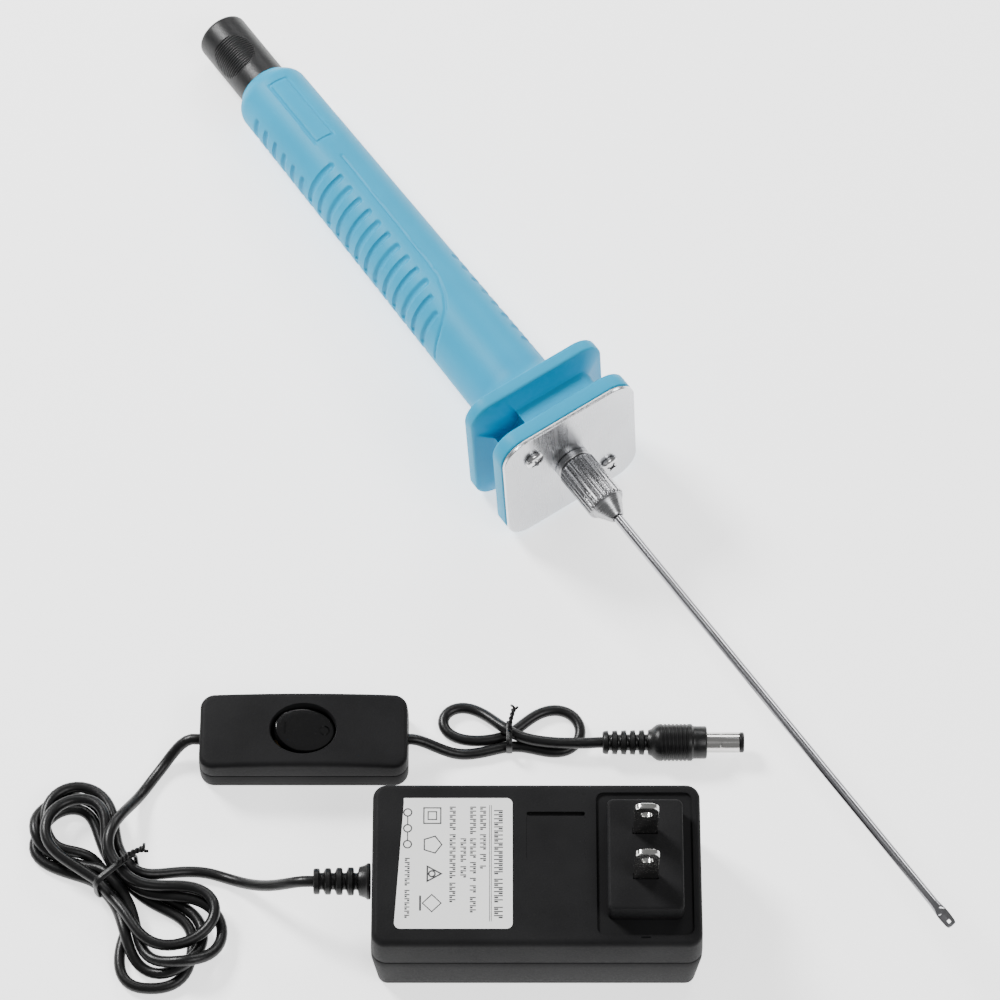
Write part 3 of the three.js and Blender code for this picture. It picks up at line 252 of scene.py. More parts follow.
def new_object(name, mesh, look, body, matrix=None, replaces=(), sharp=32):
    """Links a mesh in its own frame, with smooth shading and sharp edges, and ties it to the model."""
    mesh.materials.clear()
    mesh.materials.append(look)
    mesh.shade_smooth()
    mesh.set_sharp_from_angle(angle=math.radians(sharp))
    if matrix is not None:
        mesh.transform(matrix)
    piece = bpy.data.objects.new(name, mesh)
    bpy.context.scene.collection.objects.link(piece)
    bpy.context.view_layer.update()
    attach(piece, body)
    if replaces:
        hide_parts(*replaces)
    return piece


def loft_mesh(name, rings, closed=False, fans=2):
    """Skins a stack of rings of points, in millimetres. An open stack gets fans at both ends, or one."""
    rings = np.asarray(rings, dtype=float)
    levels, count, _ = rings.shape
    points = list(map(tuple, rings.reshape(-1, 3) * MM))
    faces = []
    for level in range(levels if closed else levels - 1):
        a = level * count
        b = (level + 1) % levels * count
        for i in range(count):
            j = (i + 1) % count
            faces.append((a + i, a + j, b + j, b + i))
    if not closed:
        for ring, turn in ((0, -1), (levels - 1, 1))[:fans]:
            centre = len(points)
            points.append(tuple(rings[ring].mean(axis=0) * MM))
            start = ring * count
            for i in range(count):
                edge = (start + i, start + (i + 1) % count)
                faces.append((*edge[::turn], centre))
    mesh = bpy.data.meshes.new(name)
    mesh.from_pydata(points, [], faces)
    shape = bmesh.new()
    shape.from_mesh(mesh)
    bmesh.ops.remove_doubles(shape, verts=shape.verts, dist=1e-7)
    bmesh.ops.dissolve_degenerate(shape, edges=shape.edges, dist=1e-8)
    bmesh.ops.recalc_face_normals(shape, faces=shape.faces)
    shape.to_mesh(mesh)
    shape.free()
    return mesh


def full_turn(count):
    """Even angles around a full turn."""
    return np.arange(count) / count * 2 * math.pi


def ring_at(radius, turn, z):
    """A ring of points at height z. The radius may differ from one angle to the next."""
    return np.stack([radius * np.cos(turn), radius * np.sin(turn), np.full(len(turn), z)], axis=1)


def turned(name, profile, segments=96, closed=False):
    """Turns [radius, z] pairs about Z. A closed profile makes a ring or pipe."""
    turn = full_turn(segments)
    return loft_mesh(name, [ring_at(radius, turn, z) for radius, z in profile], closed)


def rounded_edge(inset, across, top, up, start, steps):
    """[inset, z] rows over an outer edge that is rounded by across, and by up towards the top."""
    return [(inset + across * (1 - math.cos(a)), top - up + up * math.sin(a))
            for a in np.linspace(start, math.pi / 2, steps)]


def rounded_outline(half_x, half_y, corner, steps=10):
    """Points of a rounded rectangle, counter-clockwise, always the same number."""
    points = []
    for quarter, (sign_x, sign_y) in enumerate(((1, 1), (-1, 1), (-1, -1), (1, -1))):
        for i in range(steps + 1):
            angle = (quarter + i / steps) * math.pi / 2
            points.append((
                sign_x * (half_x - corner) + corner * math.cos(angle),
                sign_y * (half_y - corner) + corner * math.sin(angle),
            ))
    return points


def inset_ring(half_x, half_y, corner, inset, z, steps=10):
    outline = rounded_outline(half_x - inset, half_y - inset, max(corner - inset, 0.3), steps)
    return [(x, y, z) for x, y in outline]


def drilled(mesh, *cutters):
    """Cuts closed meshes out of a mesh, with Blender's exact boolean."""
    base = bpy.data.objects.new("base", mesh)
    bpy.context.scene.collection.objects.link(base)
    tools = []
    for cutter in cutters:
        tool = bpy.data.objects.new("tool", cutter)
        bpy.context.scene.collection.objects.link(tool)
        modifier = base.modifiers.new("cut", "BOOLEAN")
        modifier.operation = "DIFFERENCE"
        modifier.solver = "EXACT"
        modifier.object = tool
        tools.append(tool)
    bpy.context.view_layer.update()
    graph = bpy.context.evaluated_depsgraph_get()
    made = bpy.data.meshes.new_from_object(base.evaluated_get(graph))
    for thing in [base, *tools]:
        bpy.data.objects.remove(thing)
    return made


def moved(mesh, offset=(0, 0, 0), turn=None):
    """Moves a mesh's points, in millimetres, after an optional rotation."""
    matrix = Matrix.Translation(Vector(offset) * MM)
    if turn is not None:
        matrix = matrix @ turn.to_4x4()
    mesh.transform(matrix)
    return mesh


def box_mesh(name, size, centre):
    shape = bmesh.new()
    bmesh.ops.create_cube(shape, size=1)
    bmesh.ops.scale(shape, vec=Vector(size) * MM, verts=shape.verts)
    bmesh.ops.translate(shape, vec=Vector(centre) * MM, verts=shape.verts)
    mesh = bpy.data.meshes.new(name)
    shape.to_mesh(mesh)
    shape.free()
    return mesh


def merged(name, meshes):
    """One mesh of several separate solids."""
    shape = bmesh.new()
    for mesh in meshes:
        shape.from_mesh(mesh)
    made = bpy.data.meshes.new(name)
    shape.to_mesh(made)
    shape.free()
    return made


# ---------------------------------------------------------------- cords

ROOT = "power_supply"


def through(points, step=1.5):
    """A smooth line through points, in millimetres, sampled every step."""
    points = np.asarray(points, dtype=float)
    ends = np.vstack([2 * points[0] - points[1], points, 2 * points[-1] - points[-2]])
    line = []
    for i in range(1, len(ends) - 2):
        a, b, c, d = ends[i - 1], ends[i], ends[i + 1], ends[i + 2]
        for t in np.linspace(0, 1, 12, endpoint=False):
            line.append(0.5 * (2 * b + (c - a) * t + (2 * a - 5 * b + 4 * c - d) * t * t
                               + (3 * b - a - 3 * c + d) * t ** 3))
    line.append(points[-1])
    return resampled(np.array(line), step)


def resampled(line, step):
    travel = np.concatenate([[0], np.cumsum(np.linalg.norm(np.diff(line, axis=0), axis=1))])
    places = np.linspace(0, travel[-1], max(2, int(round(travel[-1] / step)) + 1))
    return np.stack([np.interp(places, travel, line[:, k]) for k in range(3)], axis=1)


def line_length(line):
    return float(np.linalg.norm(np.diff(line, axis=0), axis=1).sum())


CORD_LIMIT = (cad_low.x / MM + CORD_RADIUS + 0.1, cad_low.y / MM + CORD_RADIUS + 0.1)


def settled(line, pinned, gap, floor, rounds=500):
    """Pushes the turns of a cord apart until they only touch. Pinned points stay where they are."""
    line = line.copy()
    count = len(line)
    step = line_length(line) / (count - 1)
    free = np.ones(count)
    free[pinned] = 0
    weight = free[:, None]
    skip = int(math.ceil(2.2 * gap / step))
    first, second = np.triu_indices(count, skip)
    for _ in range(rounds):
        between = line[second] - line[first]
        distance = np.linalg.norm(between, axis=1)
        close = distance < gap
        i, j = first[close], second[close]
        away = between[close]
        away[:, 2] += np.where(away[:, 2] >= 0, 0.05, -0.05)
        away /= np.linalg.norm(away, axis=1)[:, None]
        push = away * ((gap - distance[close]) * 0.5)[:, None]
        shift = np.zeros_like(line)
        hits = np.zeros(count)
        np.add.at(shift, i, -push)
        np.add.at(shift, j, push)
        np.add.at(hits, i, 1)
        np.add.at(hits, j, 1)
        line += weight * shift / np.maximum(hits, 1)[:, None]
        smooth = np.zeros_like(line)
        smooth[2:-2] = (4 * (line[1:-3] + line[3:-1]) - line[:-4] - line[4:]) / 6 - line[2:-2]
        line += weight * smooth * 0.25
        line[:, 2] = np.where(free > 0, np.maximum(line[:, 2] - 0.002, floor), line[:, 2])
        line[:, :2] = np.maximum(line[:, :2], CORD_LIMIT)
    return line


def cord_curve(name, line, radius, look):
    data = bpy.data.curves.new(name, "CURVE")
    data.dimensions = "3D"
    data.bevel_depth = radius * MM
    data.bevel_resolution = 6
    data.use_fill_caps = True
    spline = data.splines.new("POLY")
    spline.points.add(len(line) - 1)
    for point, place in zip(spline.points, line):
        point.co = (*(place * MM), 1)
    data.materials.append(look)
    curve = bpy.data.objects.new(name, data)
    bpy.context.scene.collection.objects.link(curve)
    bpy.context.view_layer.update()
    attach(curve, ROOT)
    return curve


# The wound length: teardrop turns on both sides of a tied waist.
WAIST = np.array([-111.0, 7.1])
ALONG = np.array([26.0, -30.0]) / math.hypot(26, 30)       # from the small lobe to the large one
ACROSS = np.array([-ALONG[1], ALONG[0]])
LAYERS = (2.75, 5.85, 8.95)
STRAND = 1.56


def at_waist(along, across, z):
    place = WAIST + along * ALONG + across * ACROSS
    return (place[0], place[1], z)


def lobe_points(side, reach, width, swing, start, end, height):
    """Points of one turn, from the waist strand start to the strand end; side is -1 or 1 along."""
    turn = math.radians(swing)
    points = []
    for part, spread, blend in ((0.3, 0.5, 0.0), (0.62, 0.98, 0.25), (0.88, 0.72, 0.4), (1.0, 0.0, 0.5),
                                (0.88, -0.72, 0.6), (0.62, -0.98, 0.75), (0.3, -0.5, 1.0)):
        along = side * reach * part
        across = width * spread * (1 if start[0] > end[0] else -1)
        if abs(spread) < 0.6:
            anchor = start if blend < 0.5 else end
            across = across * 0.55 + anchor[0] * 0.45
            if part == 1.0:
                across = 0
        lean = turn * (part ** 1.5)
        turned_along = along * math.cos(lean) - across * math.sin(lean)
        turned_across = along * math.sin(lean) + across * math.cos(lean)
        points.append(at_waist(turned_along, turned_across, height))
    return points


ENTRY = (3 * STRAND, LAYERS[1])
FAR_SLOTS = [(STRAND, LAYERS[0]), (3 * STRAND, LAYERS[0]), (STRAND, LAYERS[1]), (STRAND, LAYERS[2])]
NEAR_SLOTS = [(-STRAND, LAYERS[0]), (-3 * STRAND, LAYERS[0]), (-STRAND, LAYERS[1]), (-3 * STRAND, LAYERS[1])]
SMALL_TURNS = [(29.5, 10.2, -9, 5.2), (27.0, 9.2, 8, 1.7), (29.0, 9.6, 0, 3.4), (25.5, 9.4, -2, 7.6)]
LARGE_TURNS = [(34.5, 11.0, -21, 1.7), (31.5, 10.4, -4, 3.2), (34.0, 10.8, 12, 5.0), (29.5, 10.0, 22, 7.4)]


def straight_through(slot, direction):
    across, z = slot
    return [at_waist(along * direction, across, z) for along in (-3.4, 0, 3.4)]


def lead_to_hank():
    low_relief = RELIEF_LOW.x - 0.3
    return [
        (low_relief + 2.4, 0, RELIEF_Z), (low_relief, 0, RELIEF_Z), (low_relief - 2, 0, RELIEF_Z),
        (-65, 0.6, 16), (-70, 2, 11.4), (-75, 4.2, 7), (-80, 6.8, 3.4), (-85, 9, 1.9), (-90, 9.8, 2.2),
        (-95, 9.6, 3.6), (-100, 8.2, 5.2),
    ]


hank_route = lead_to_hank()
waist_marks = []


def pass_waist(slot, direction):
    waist_marks.append(at_waist(0, *slot))
    hank_route.extend(straight_through(slot, direction))


pass_waist(ENTRY, -1)
before = ENTRY
for turn in range(4):
    *small_shape, small_height = SMALL_TURNS[turn]
    hank_route += lobe_points(-1, *small_shape, before, NEAR_SLOTS[turn], small_height)
    pass_waist(NEAR_SLOTS[turn], 1)
    *large_shape, large_height = LARGE_TURNS[turn]
    hank_route += lobe_points(1, *large_shape, NEAR_SLOTS[turn], FAR_SLOTS[turn], large_height)
    pass_waist(FAR_SLOTS[turn], -1)
    before = FAR_SLOTS[turn]
switch_left = SWITCH_LOW.x - 0.3
hank_route += [
    at_waist(-8.5, 3.2, 9.2), (-111.5, 21.0, 9.4), (-108.0, 27.5, 6.0), (-105.5, 32.0, 2.6),
    (-102.6, 36.6, 1.8), (-99.6, 40.6, 2.6), (-96.4, 43.8, 4.4), (-94.4, 45.4, 6.0),
    (switch_left - 2, SWITCH_MID.y, SWITCH_MID.z), (switch_left, SWITCH_MID.y, SWITCH_MID.z),
    (switch_left + 3, SWITCH_MID.y, SWITCH_MID.z),
]
GAP = 3.06
CORD_STEP = 1.6
lead_line = through(hank_route, CORD_STEP)
lead_pinned = {*range(4), *range(len(lead_line) - 4, len(lead_line))}
for mark in waist_marks:
    nearest = int(np.argmin(np.linalg.norm(lead_line - np.array(mark), axis=1)))
    lead_pinned.update((nearest - 1, nearest, nearest + 1))
lead_line = settled(lead_line, sorted(lead_pinned), GAP, 1.55)
lead = cord_curve("lead_adapter_to_switch", lead_line, CORD_RADIUS, CORD_BLACK)
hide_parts("cord_adapter_to_hank", "cord_hank", "cord_hank_to_switch")

switch_right = SWITCH_HIGH.x + 0.3
plug_back = PLUG_LOW.x - 0.3
loop_route = [
    (switch_right - 3, SWITCH_MID.y, SWITCH_MID.z), (switch_right, SWITCH_MID.y, SWITCH_MID.z),
    (switch_right + 2, SWITCH_MID.y, 6.8), (-28, 45.4, 5.4), (-22, 44, 2.8), (-14, 44.6, 1.6),
    (-7, 46.6, 1.6),
    (0, 45.6, 1.6), (6, 44.6, 1.6), (10.6, 46.6, 1.6), (12.3, 51, 1.6), (9.6, 56, 1.6), (3.4, 57, 1.6),
    (-2.6, 53.6, 1.6), (-7, 49.8, 1.6), (-12.5, 48.3, 1.6), (-19, 48.4, 1.8), (-24.4, 51, 1.6),
    (-24.6, 55.6, 1.6), (-20, 58, 1.6), (-13.6, 55.6, 2.6), (-8.6, 50.6, 4.6), (-5, 48.4, 4.8),
    (1, 46.8, 4.9), (7, 46.1, 5), (14.3, PLUG_Y, PLUG_Z), (plug_back, PLUG_Y, PLUG_Z),
    (plug_back + 3, PLUG_Y, PLUG_Z),
]
loop_line = through(loop_route, 1.2)
loop_pinned = [*range(4), *range(len(loop_line) - 4, len(loop_line))]
loop_line = settled(loop_line, loop_pinned, GAP, 1.55, 300)
plug_lead = cord_curve("lead_switch_to_plug", loop_line, CORD_RADIUS, CORD_BLACK)
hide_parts("cord_switch_to_loop", "cord_loop", "cord_loop_to_plug")

# ---------------------------------------------------------------- twist ties


def ribbon_ring(name, half_across, half_up, corner, width, thickness):
    """A flat band about X, its middle line a rounded rectangle."""
    outline = rounded_outline(half_across, half_up, corner, 8)
    centre_line = np.array(outline)
    count = len(centre_line)
    tangents = np.roll(centre_line, -1, axis=0) - np.roll(centre_line, 1, axis=0)
    tangents /= np.linalg.norm(tangents, axis=1)[:, None]
    normals = np.stack([tangents[:, 1], -tangents[:, 0]], axis=1)
    section = [(w * width / 2, t * thickness / 2) for w, t in
               ((-1, -0.45), (-0.75, -0.8), (-0.25, -0.8), (0, -1), (0.25, -0.8), (0.75, -0.8), (1, -0.45),
                (1, 0.45), (0.75, 0.8), (0.25, 0.8), (0, 1), (-0.25, 0.8), (-0.75, 0.8), (-1, 0.45))]
    stack = []
    for i in range(count):
        stack.append([
            (w, centre_line[i, 0] + t * normals[i, 0], centre_line[i, 1] + t * normals[i, 1])
            for w, t in section
        ])
    return loft_mesh(name, stack, closed=True)


def tube_mesh(name, line, radius, sides=10):
    """A round tube along a line of points, in millimetres."""
    line = np.asarray(line, dtype=float)
    tangents = np.gradient(line, axis=0)
    tangents /= np.linalg.norm(tangents, axis=1)[:, None]
    normal = np.cross(tangents[0], [0.3, 0.2, 0.9])
    normal /= np.linalg.norm(normal)
    rings = []
    for place, tangent in zip(line, tangents):
        normal = normal - tangent * normal.dot(tangent)
        normal /= np.linalg.norm(normal)
        other = np.cross(tangent, normal)
        rings.append([
            place + radius * (math.cos(a) * normal + math.sin(a) * other)
            for a in full_turn(sides)
        ])
    return loft_mesh(name, rings)


def twisted_pair(name, start, middle, end, radius, turns, splay=1.6):
    """Two wires twisted about a bent line, with their free ends splayed."""
    line = through([start, middle, end], 0.25)
    share = np.linspace(0, 1, len(line))
    tangents = np.gradient(line, axis=0)
    tangents /= np.linalg.norm(tangents, axis=1)[:, None]
    side = np.cross(tangents, [0, 0, 1.0])
    side /= np.linalg.norm(side, axis=1)[:, None]
    lift = np.cross(side, tangents)
    wires = []
    for phase in (0, math.pi):
        angle = share * turns * 2 * math.pi + phase
        away = radius * (1 + splay * np.clip((share - 0.8) / 0.2, 0, 1) ** 1.5)
        wires.append(line + away[:, None] * (np.cos(angle)[:, None] * side + np.sin(angle)[:, None] * lift))
    return merged(name, [tube_mesh(name, wire, radius, 8) for wire in wires])


hank_angle = math.atan2(ALONG[1], ALONG[0])
hank_band = ribbon_ring("hank_band", 6.75, 5.1, 2.6, 1.8, 0.75)
moved(hank_band, (0, 0, 5.95))
hank_twist = twisted_pair("hank_twist", (0, 0.6, 11.9), (0.4, 5.2, 12.7), (1.6, 9.4, 12.4), 0.42, 4)
tie_mesh = merged("hank_tie_wire", [hank_band, hank_twist])
new_object("hank_tie_wire", tie_mesh, TIE_BLACK, ROOT,
           Matrix.Translation(Vector((*WAIST, 0)) * MM) @ Matrix.Rotation(hank_angle, 4, "Z"),
           ("hank_tie",))

LOOP_X = -7.0
loop_band = ribbon_ring("loop_band", 3.9, 3.1, 2.0, 1.6, 0.6)
moved(loop_band, (LOOP_X, 48.3, 3.45))
loop_twist = twisted_pair("loop_twist", (LOOP_X, 48.4, 6.7), (LOOP_X + 0.4, 51.4, 8.2),
                          (LOOP_X + 1.4, 55.2, 8.3), 0.34, 3)
new_object("loop_tie_wire", merged("loop_tie_wire", [loop_band, loop_twist]), TIE_BLACK, ROOT,
           None, ("loop_tie",))

# ---------------------------------------------------------------- pen: handle

REAR_RADIUS = 10.8
FRONT_RADIUS = 12.1
GRIP_END = 127.4
FLARE_RADIUS = 9
SHOULDER = 5.0
FLARE_END = 136.4
REAR_RIM_END = 140.4
CORE_START = 142.4
FRONT_RIM = 150.0
HANDLE_END = 154.6
FLANGE_HALF = 21.3
FLANGE_CORNER = 7.0
CORE_HALF = 15.6
CORE_CORNER = 4.0
SCREW_OFFSET = 17 / math.sqrt(2)
NOTCH_RADIUS = 4.5
SLEEVE_RADIUS = 7.48
COLUMNS = 240
GROOVE_PITCH = GRIP_END / 26
GROOVE_START = 2.4 * GROOVE_PITCH
GROOVE_RADIUS = 1.08
GROOVE_LIFT = 0.33                       # from the grip's face out to the middle of a groove's section
LINE_DEPTH = 0.34
LINE_HALF_WIDTH = 0.5

angles = full_turn(COLUMNS)
# Degrees from the upper side towards the user's side of the pen, -180 to 180.
pen_degrees = (np.degrees(angles) - 90 + 180) % 360 - 180


def grip_radius(s):
    return REAR_RADIUS + (FRONT_RADIUS - REAR_RADIUS) * min(max((s - SHOULDER) / (GRIP_END - SHOULDER), 0), 1)


def square_radius(half, corner):
    """Distance from the centre of a rounded square to its edge, at every column."""
    folded = np.abs((np.degrees(angles) + 45) % 90 - 45)
    a = np.radians(folded)
    straight = half / np.cos(a)
    inner = half - corner
    lean = inner * (np.cos(a) + np.sin(a))
    rounded = lean + np.sqrt(np.maximum(lean ** 2 - 2 * inner ** 2 + corner ** 2, 0))
    return np.where(half * np.tan(a) <= inner, straight, rounded)


def notched(radius):
    """The core between the flanges, cut away around the two plate screws."""
    reach = 17.0
    for diagonal in (135, -45):
        off = np.radians((np.degrees(angles) - diagonal + 180) % 360 - 180)
        inside = np.abs(np.sin(off)) < NOTCH_RADIUS / reach
        near = np.abs(off) < math.pi / 2
        cut = reach * np.cos(off) - np.sqrt(np.maximum(NOTCH_RADIUS ** 2 - (reach * np.sin(off)) ** 2, 0))
        radius = np.where(inside & near, np.minimum(radius, cut), radius)
    return radius


def grip_grooves():
    """Every groove as a stretch at one station: [station, from, to] in degrees."""
    grooves = []
    for i in range(19):
        s = GROOVE_START + i * GROOVE_PITCH
        if i < 6:
            grooves.append((s, 67, 129))
        else:
            grooves.append((s, 17 + max(0, i - 16) * 9, 87))
            grooves.append((s, 97, 129))
    for i in range(15, 23):
        grooves.append((GROOVE_START + i * GROOVE_PITCH, -84, -52))
    return grooves


GROOVES = grip_grooves()
LINES = [
    [(part * GRIP_END, degrees) for part, degrees in (
        (0.314, -6), (0.432, -5), (0.549, -4), (0.659, -3), (0.714, -1), (0.761, 8), (0.793, 20),
        (0.812, 35), (0.824, 50), (0.832, 68), (0.837, 88))],
    [(part * GRIP_END, degrees) for part, degrees in (
        (0.055, -20), (0.055, 12), (0.25, 12), (0.25, -20), (0.055, -20))],
]
STRETCHES = [pair for line in LINES for pair in zip(line, line[1:])]


def groove_depth(s, radius):
    """How far every column at station s is pressed in."""
    depth = np.zeros(COLUMNS)
    scale = radius * math.pi / 180
    for station, start, end in GROOVES:
        if abs(s - station) > 1.7:
            continue
        beyond = np.maximum(np.maximum(start - pen_degrees, pen_degrees - end), 0) * scale
        distance = np.hypot(s - station, beyond)
        pressed = np.sqrt(np.maximum(GROOVE_RADIUS ** 2 - distance ** 2, 0)) - GROOVE_LIFT
        lip = 0.07 * np.exp(-((distance - 1.25) / 0.25) ** 2)
        raised = np.where(pressed > 0, 0, lip * (depth <= 0))
        depth = np.maximum(depth, np.where(pressed > 0, pressed, 0)) - raised
    for (s0, d0), (s1, d1) in STRETCHES:
        if s < min(s0, s1) - 1 or s > max(s0, s1) + 1:
            continue
        run = np.array([s1 - s0, (d1 - d0) * scale])
        px = s - s0
        py = (pen_degrees - d0) * scale
        t = np.clip((px * run[0] + py * run[1]) / run.dot(run), 0, 1)
        distance = np.hypot(px - t * run[0], py - t * run[1])
        depth = np.maximum(depth, LINE_DEPTH * np.clip(1 - (distance / LINE_HALF_WIDTH) ** 2, 0, 1))
    return depth


def handle_rings():
    rows = [(6.0, np.full(COLUMNS, SLEEVE_RADIUS + 0.25)), (0.5, np.full(COLUMNS, SLEEVE_RADIUS + 0.25)),
            (0.0, np.full(COLUMNS, SLEEVE_RADIUS + 0.7))]
    start = math.asin(1 - (REAR_RADIUS - 8.4) / SHOULDER)
    for i in range(13):
        a = start + (math.pi / 2 - start) * i / 12
        rows.append((SHOULDER * (1 - math.cos(a)),
                     np.full(COLUMNS, REAR_RADIUS - SHOULDER * (1 - math.sin(a)))))
    for s in np.arange(SHOULDER + 0.4, GRIP_END, 0.36):
        radius = grip_radius(s)
        rows.append((s, radius - groove_depth(s, radius)))
    for i in range(16):
        a = i / 15 * math.pi / 2
        rows.append((GRIP_END + FLARE_RADIUS * math.sin(a),
                     np.full(COLUMNS, FRONT_RADIUS + FLARE_RADIUS * (1 - math.cos(a)) * 0.8)))

    def rim(start_s, end_s, edge, end_edge):
        for i in range(5):
            a = i / 4 * math.pi / 2
            inset = edge * (1 - math.sin(a))
            rows.append((start_s + edge * (1 - math.cos(a)),
                         square_radius(FLANGE_HALF - inset, FLANGE_CORNER - inset)))
        for i in range(5):
            a = i / 4 * math.pi / 2
            inset = end_edge * (1 - math.cos(a))
            rows.append((end_s - end_edge * (1 - math.sin(a)),
                         square_radius(FLANGE_HALF - inset, FLANGE_CORNER - inset)))

    rows.append((FLARE_END, square_radius(FLANGE_HALF - 1.4, FLANGE_CORNER - 1.4)))
    rim(FLARE_END, REAR_RIM_END, 0.8, 0.8)
    core = notched(square_radius(CORE_HALF, CORE_CORNER))
    rows.append((REAR_RIM_END + 0.3, square_radius(FLANGE_HALF - 1.6, FLANGE_CORNER - 1.6)))
    rows.append((CORE_START - 0.15, np.minimum(core + 0.4, square_radius(CORE_HALF + 0.4, CORE_CORNER))))
    for s in np.linspace(CORE_START + 0.2, FRONT_RIM - 0.2, 5):
        rows.append((s, core))
    rows.append((FRONT_RIM, np.minimum(core + 0.3, square_radius(CORE_HALF + 0.3, CORE_CORNER))))
    rows.append((FRONT_RIM, square_radius(FLANGE_HALF - 1.4, FLANGE_CORNER - 1.4)))
    rim(FRONT_RIM, HANDLE_END, 0.8, 0.4)
    return [ring_at(radius, angles, s) for s, radius in rows]


new_object("pen_handle", loft_mesh("pen_handle", handle_rings()), CYAN, "pen",
           PEN_FRAME, ("handle",), 40)

# ---------------------------------------------------------------- pen: jack sleeve

SLEEVE_START = -24.6


def sleeve_rings():
    turn = full_turn(200)
    degrees = (np.degrees(turn) - 90 + 180) % 360 - 180
    rows = [(3.1, -14.2), (3.1, SLEEVE_START + 0.35), (3.4, SLEEVE_START)]
    rows += [(SLEEVE_RADIUS - 1.4 + 1.4 * math.sin(a), SLEEVE_START + 1.4 * (1 - math.cos(a)))
             for a in np.linspace(0, math.pi / 2, 8)]
    rings = [ring_at(radius, turn, z) for radius, z in rows]
    centre, half_length, half_angle, pitch = -11.6, 6.4, 56, 0.8
    for z in np.concatenate([[-22.4, -20, -18.2], np.arange(-18, -5.2, 0.1), [-4, -1, 0, 2, 5.4]]):
        away = np.hypot((z - centre) / half_length, (degrees - 30) / half_angle)
        mask = np.clip((1 - away) / 0.1, 0, 1)
        sunk = mask * (0.12 + 0.13 * np.cos(2 * math.pi * (z - centre) / pitch))
        rings.append(ring_at(SLEEVE_RADIUS - sunk, turn, z))
    return rings


new_object("jack_sleeve", loft_mesh("jack_sleeve", sleeve_rings()), SLEEVE_BLACK, "pen",
           PEN_FRAME, ("dc_jack_sleeve",), 50)

# ---------------------------------------------------------------- pen: plate, screws, ring


def plate_mesh():
    edge = 0.18
    rings = [inset_ring(FLANGE_HALF, FLANGE_HALF, FLANGE_CORNER, inset, z) for inset, z in
             ((edge, 155.2), (0, 155.2 + edge), (0, 156.1 - edge), (edge, 156.1))]
    holes = [
        moved(turned("hole", [(1.75, 154), (1.75, 158)], 48), (-side * SCREW_OFFSET, side * SCREW_OFFSET, 0))
        for side in (1, -1)
    ]
    return drilled(loft_mesh("plate", rings), turned("bore", [(4.3, 154), (4.3, 158)], 64), *holes)


new_object("guard_plate_visual", plate_mesh(), PLATE_STEEL, "pen", PEN_FRAME, ("guard_plate",))


def screw_mesh():
    seat = 156.2
    dome = [(2.8 * math.cos(a), seat + 0.55 + 1.3 * math.sin(a))
            for a in np.linspace(0, math.pi / 2 * 0.96, 12)]
    profile = [(0.35, 147.65), (1.45, 149.2), (1.45, seat), (2.65, seat), (2.8, seat + 0.15)] + dome
    slot_depth = 1.1
    top = seat + 1.85
    slots = [
        box_mesh("slot", size, (0, 0, top))
        for size in ((3.3, 0.62, 2 * slot_depth), (0.62, 3.3, 2 * slot_depth))
    ]
    middle = turned("middle", [(0.75, top - 1.35), (0.95, top + 1)], 24)
    return drilled(turned("screw", profile, 64), *slots, middle)


for name, side, twist in (("plate_screw_near", 1, 20), ("plate_screw_far", -1, 65)):
    mesh = screw_mesh()
    moved(mesh, (-side * SCREW_OFFSET, side * SCREW_OFFSET, 0), Matrix.Rotation(math.radians(twist), 3, "Z"))
    new_object(name + "_visual", mesh, SCREW_STEEL, "pen", PEN_FRAME, (name,))

ring_profile = [(4.15, 156.2), (5.0, 156.2), (5.2, 156.4), (5.2, 157.8), (4.9, 158.1), (4.15, 158.1)]
new_object("lock_ring_visual", turned("lock_ring_visual", ring_profile, 96, True), NUT_STEEL, "pen",
           PEN_FRAME, ("lock_ring",))

# ---------------------------------------------------------------- pen: nut

NUT_START = 158.4
CONE_START = 173.4
NUT_END = 178.4
NUT_RADIUS = 5.5


def nut_rings():
    per_tooth = 8
    teeth = 26
    count = per_tooth * teeth
    turn = full_turn(count)
    phase = np.abs((np.arange(count) % per_tooth) / per_tooth * 2 - 1)
    tooth = np.clip(phase * 1.5 - 0.25, 0, 1)
    rings = []

    def add(radius, z, depth=0.0):
        rings.append(ring_at(radius - depth * (1 - tooth), turn, z))

    for radius, z, depth in ((5.0, NUT_START, 0.0), (5.15, NUT_START + 0.1, 0.1),
                             (5.5, NUT_START + 0.55, 0.42)):
        add(radius, z, depth)
    for z in np.linspace(NUT_START + 1, CONE_START - 1, 12):
        add(NUT_RADIUS, z, 0.42)
    for radius, z, depth in ((5.5, CONE_START - 0.55, 0.42), (5.15, CONE_START - 0.1, 0.1),
                             (5.0, CONE_START, 0.0), (4.7, CONE_START, 0.0), (4.62, CONE_START + 0.25, 0.0)):
        add(radius, z, depth)
    for share in np.linspace(0.1, 0.97, 10):
        add(4.62 + (1.9 - 4.62) * share, CONE_START + 0.25 + (NUT_END - CONE_START - 0.25) * share)
    for radius, z in ((1.8, NUT_END), (1.5, NUT_END), (1.5, NUT_END - 1.5), (3.7, CONE_START - 1),
                      (3.78, NUT_START + 0.2), (3.9, NUT_START)):
        add(radius, z)
    return rings


new_object("knurled_nut_visual", loft_mesh("knurled_nut_visual", nut_rings(), True), NUT_STEEL, "nut",
           PEN_FRAME, ("knurled_nut",), 28)

# ---------------------------------------------------------------- pen: needle

NEEDLE_START = 146.4
NEEDLE_END = 328.4


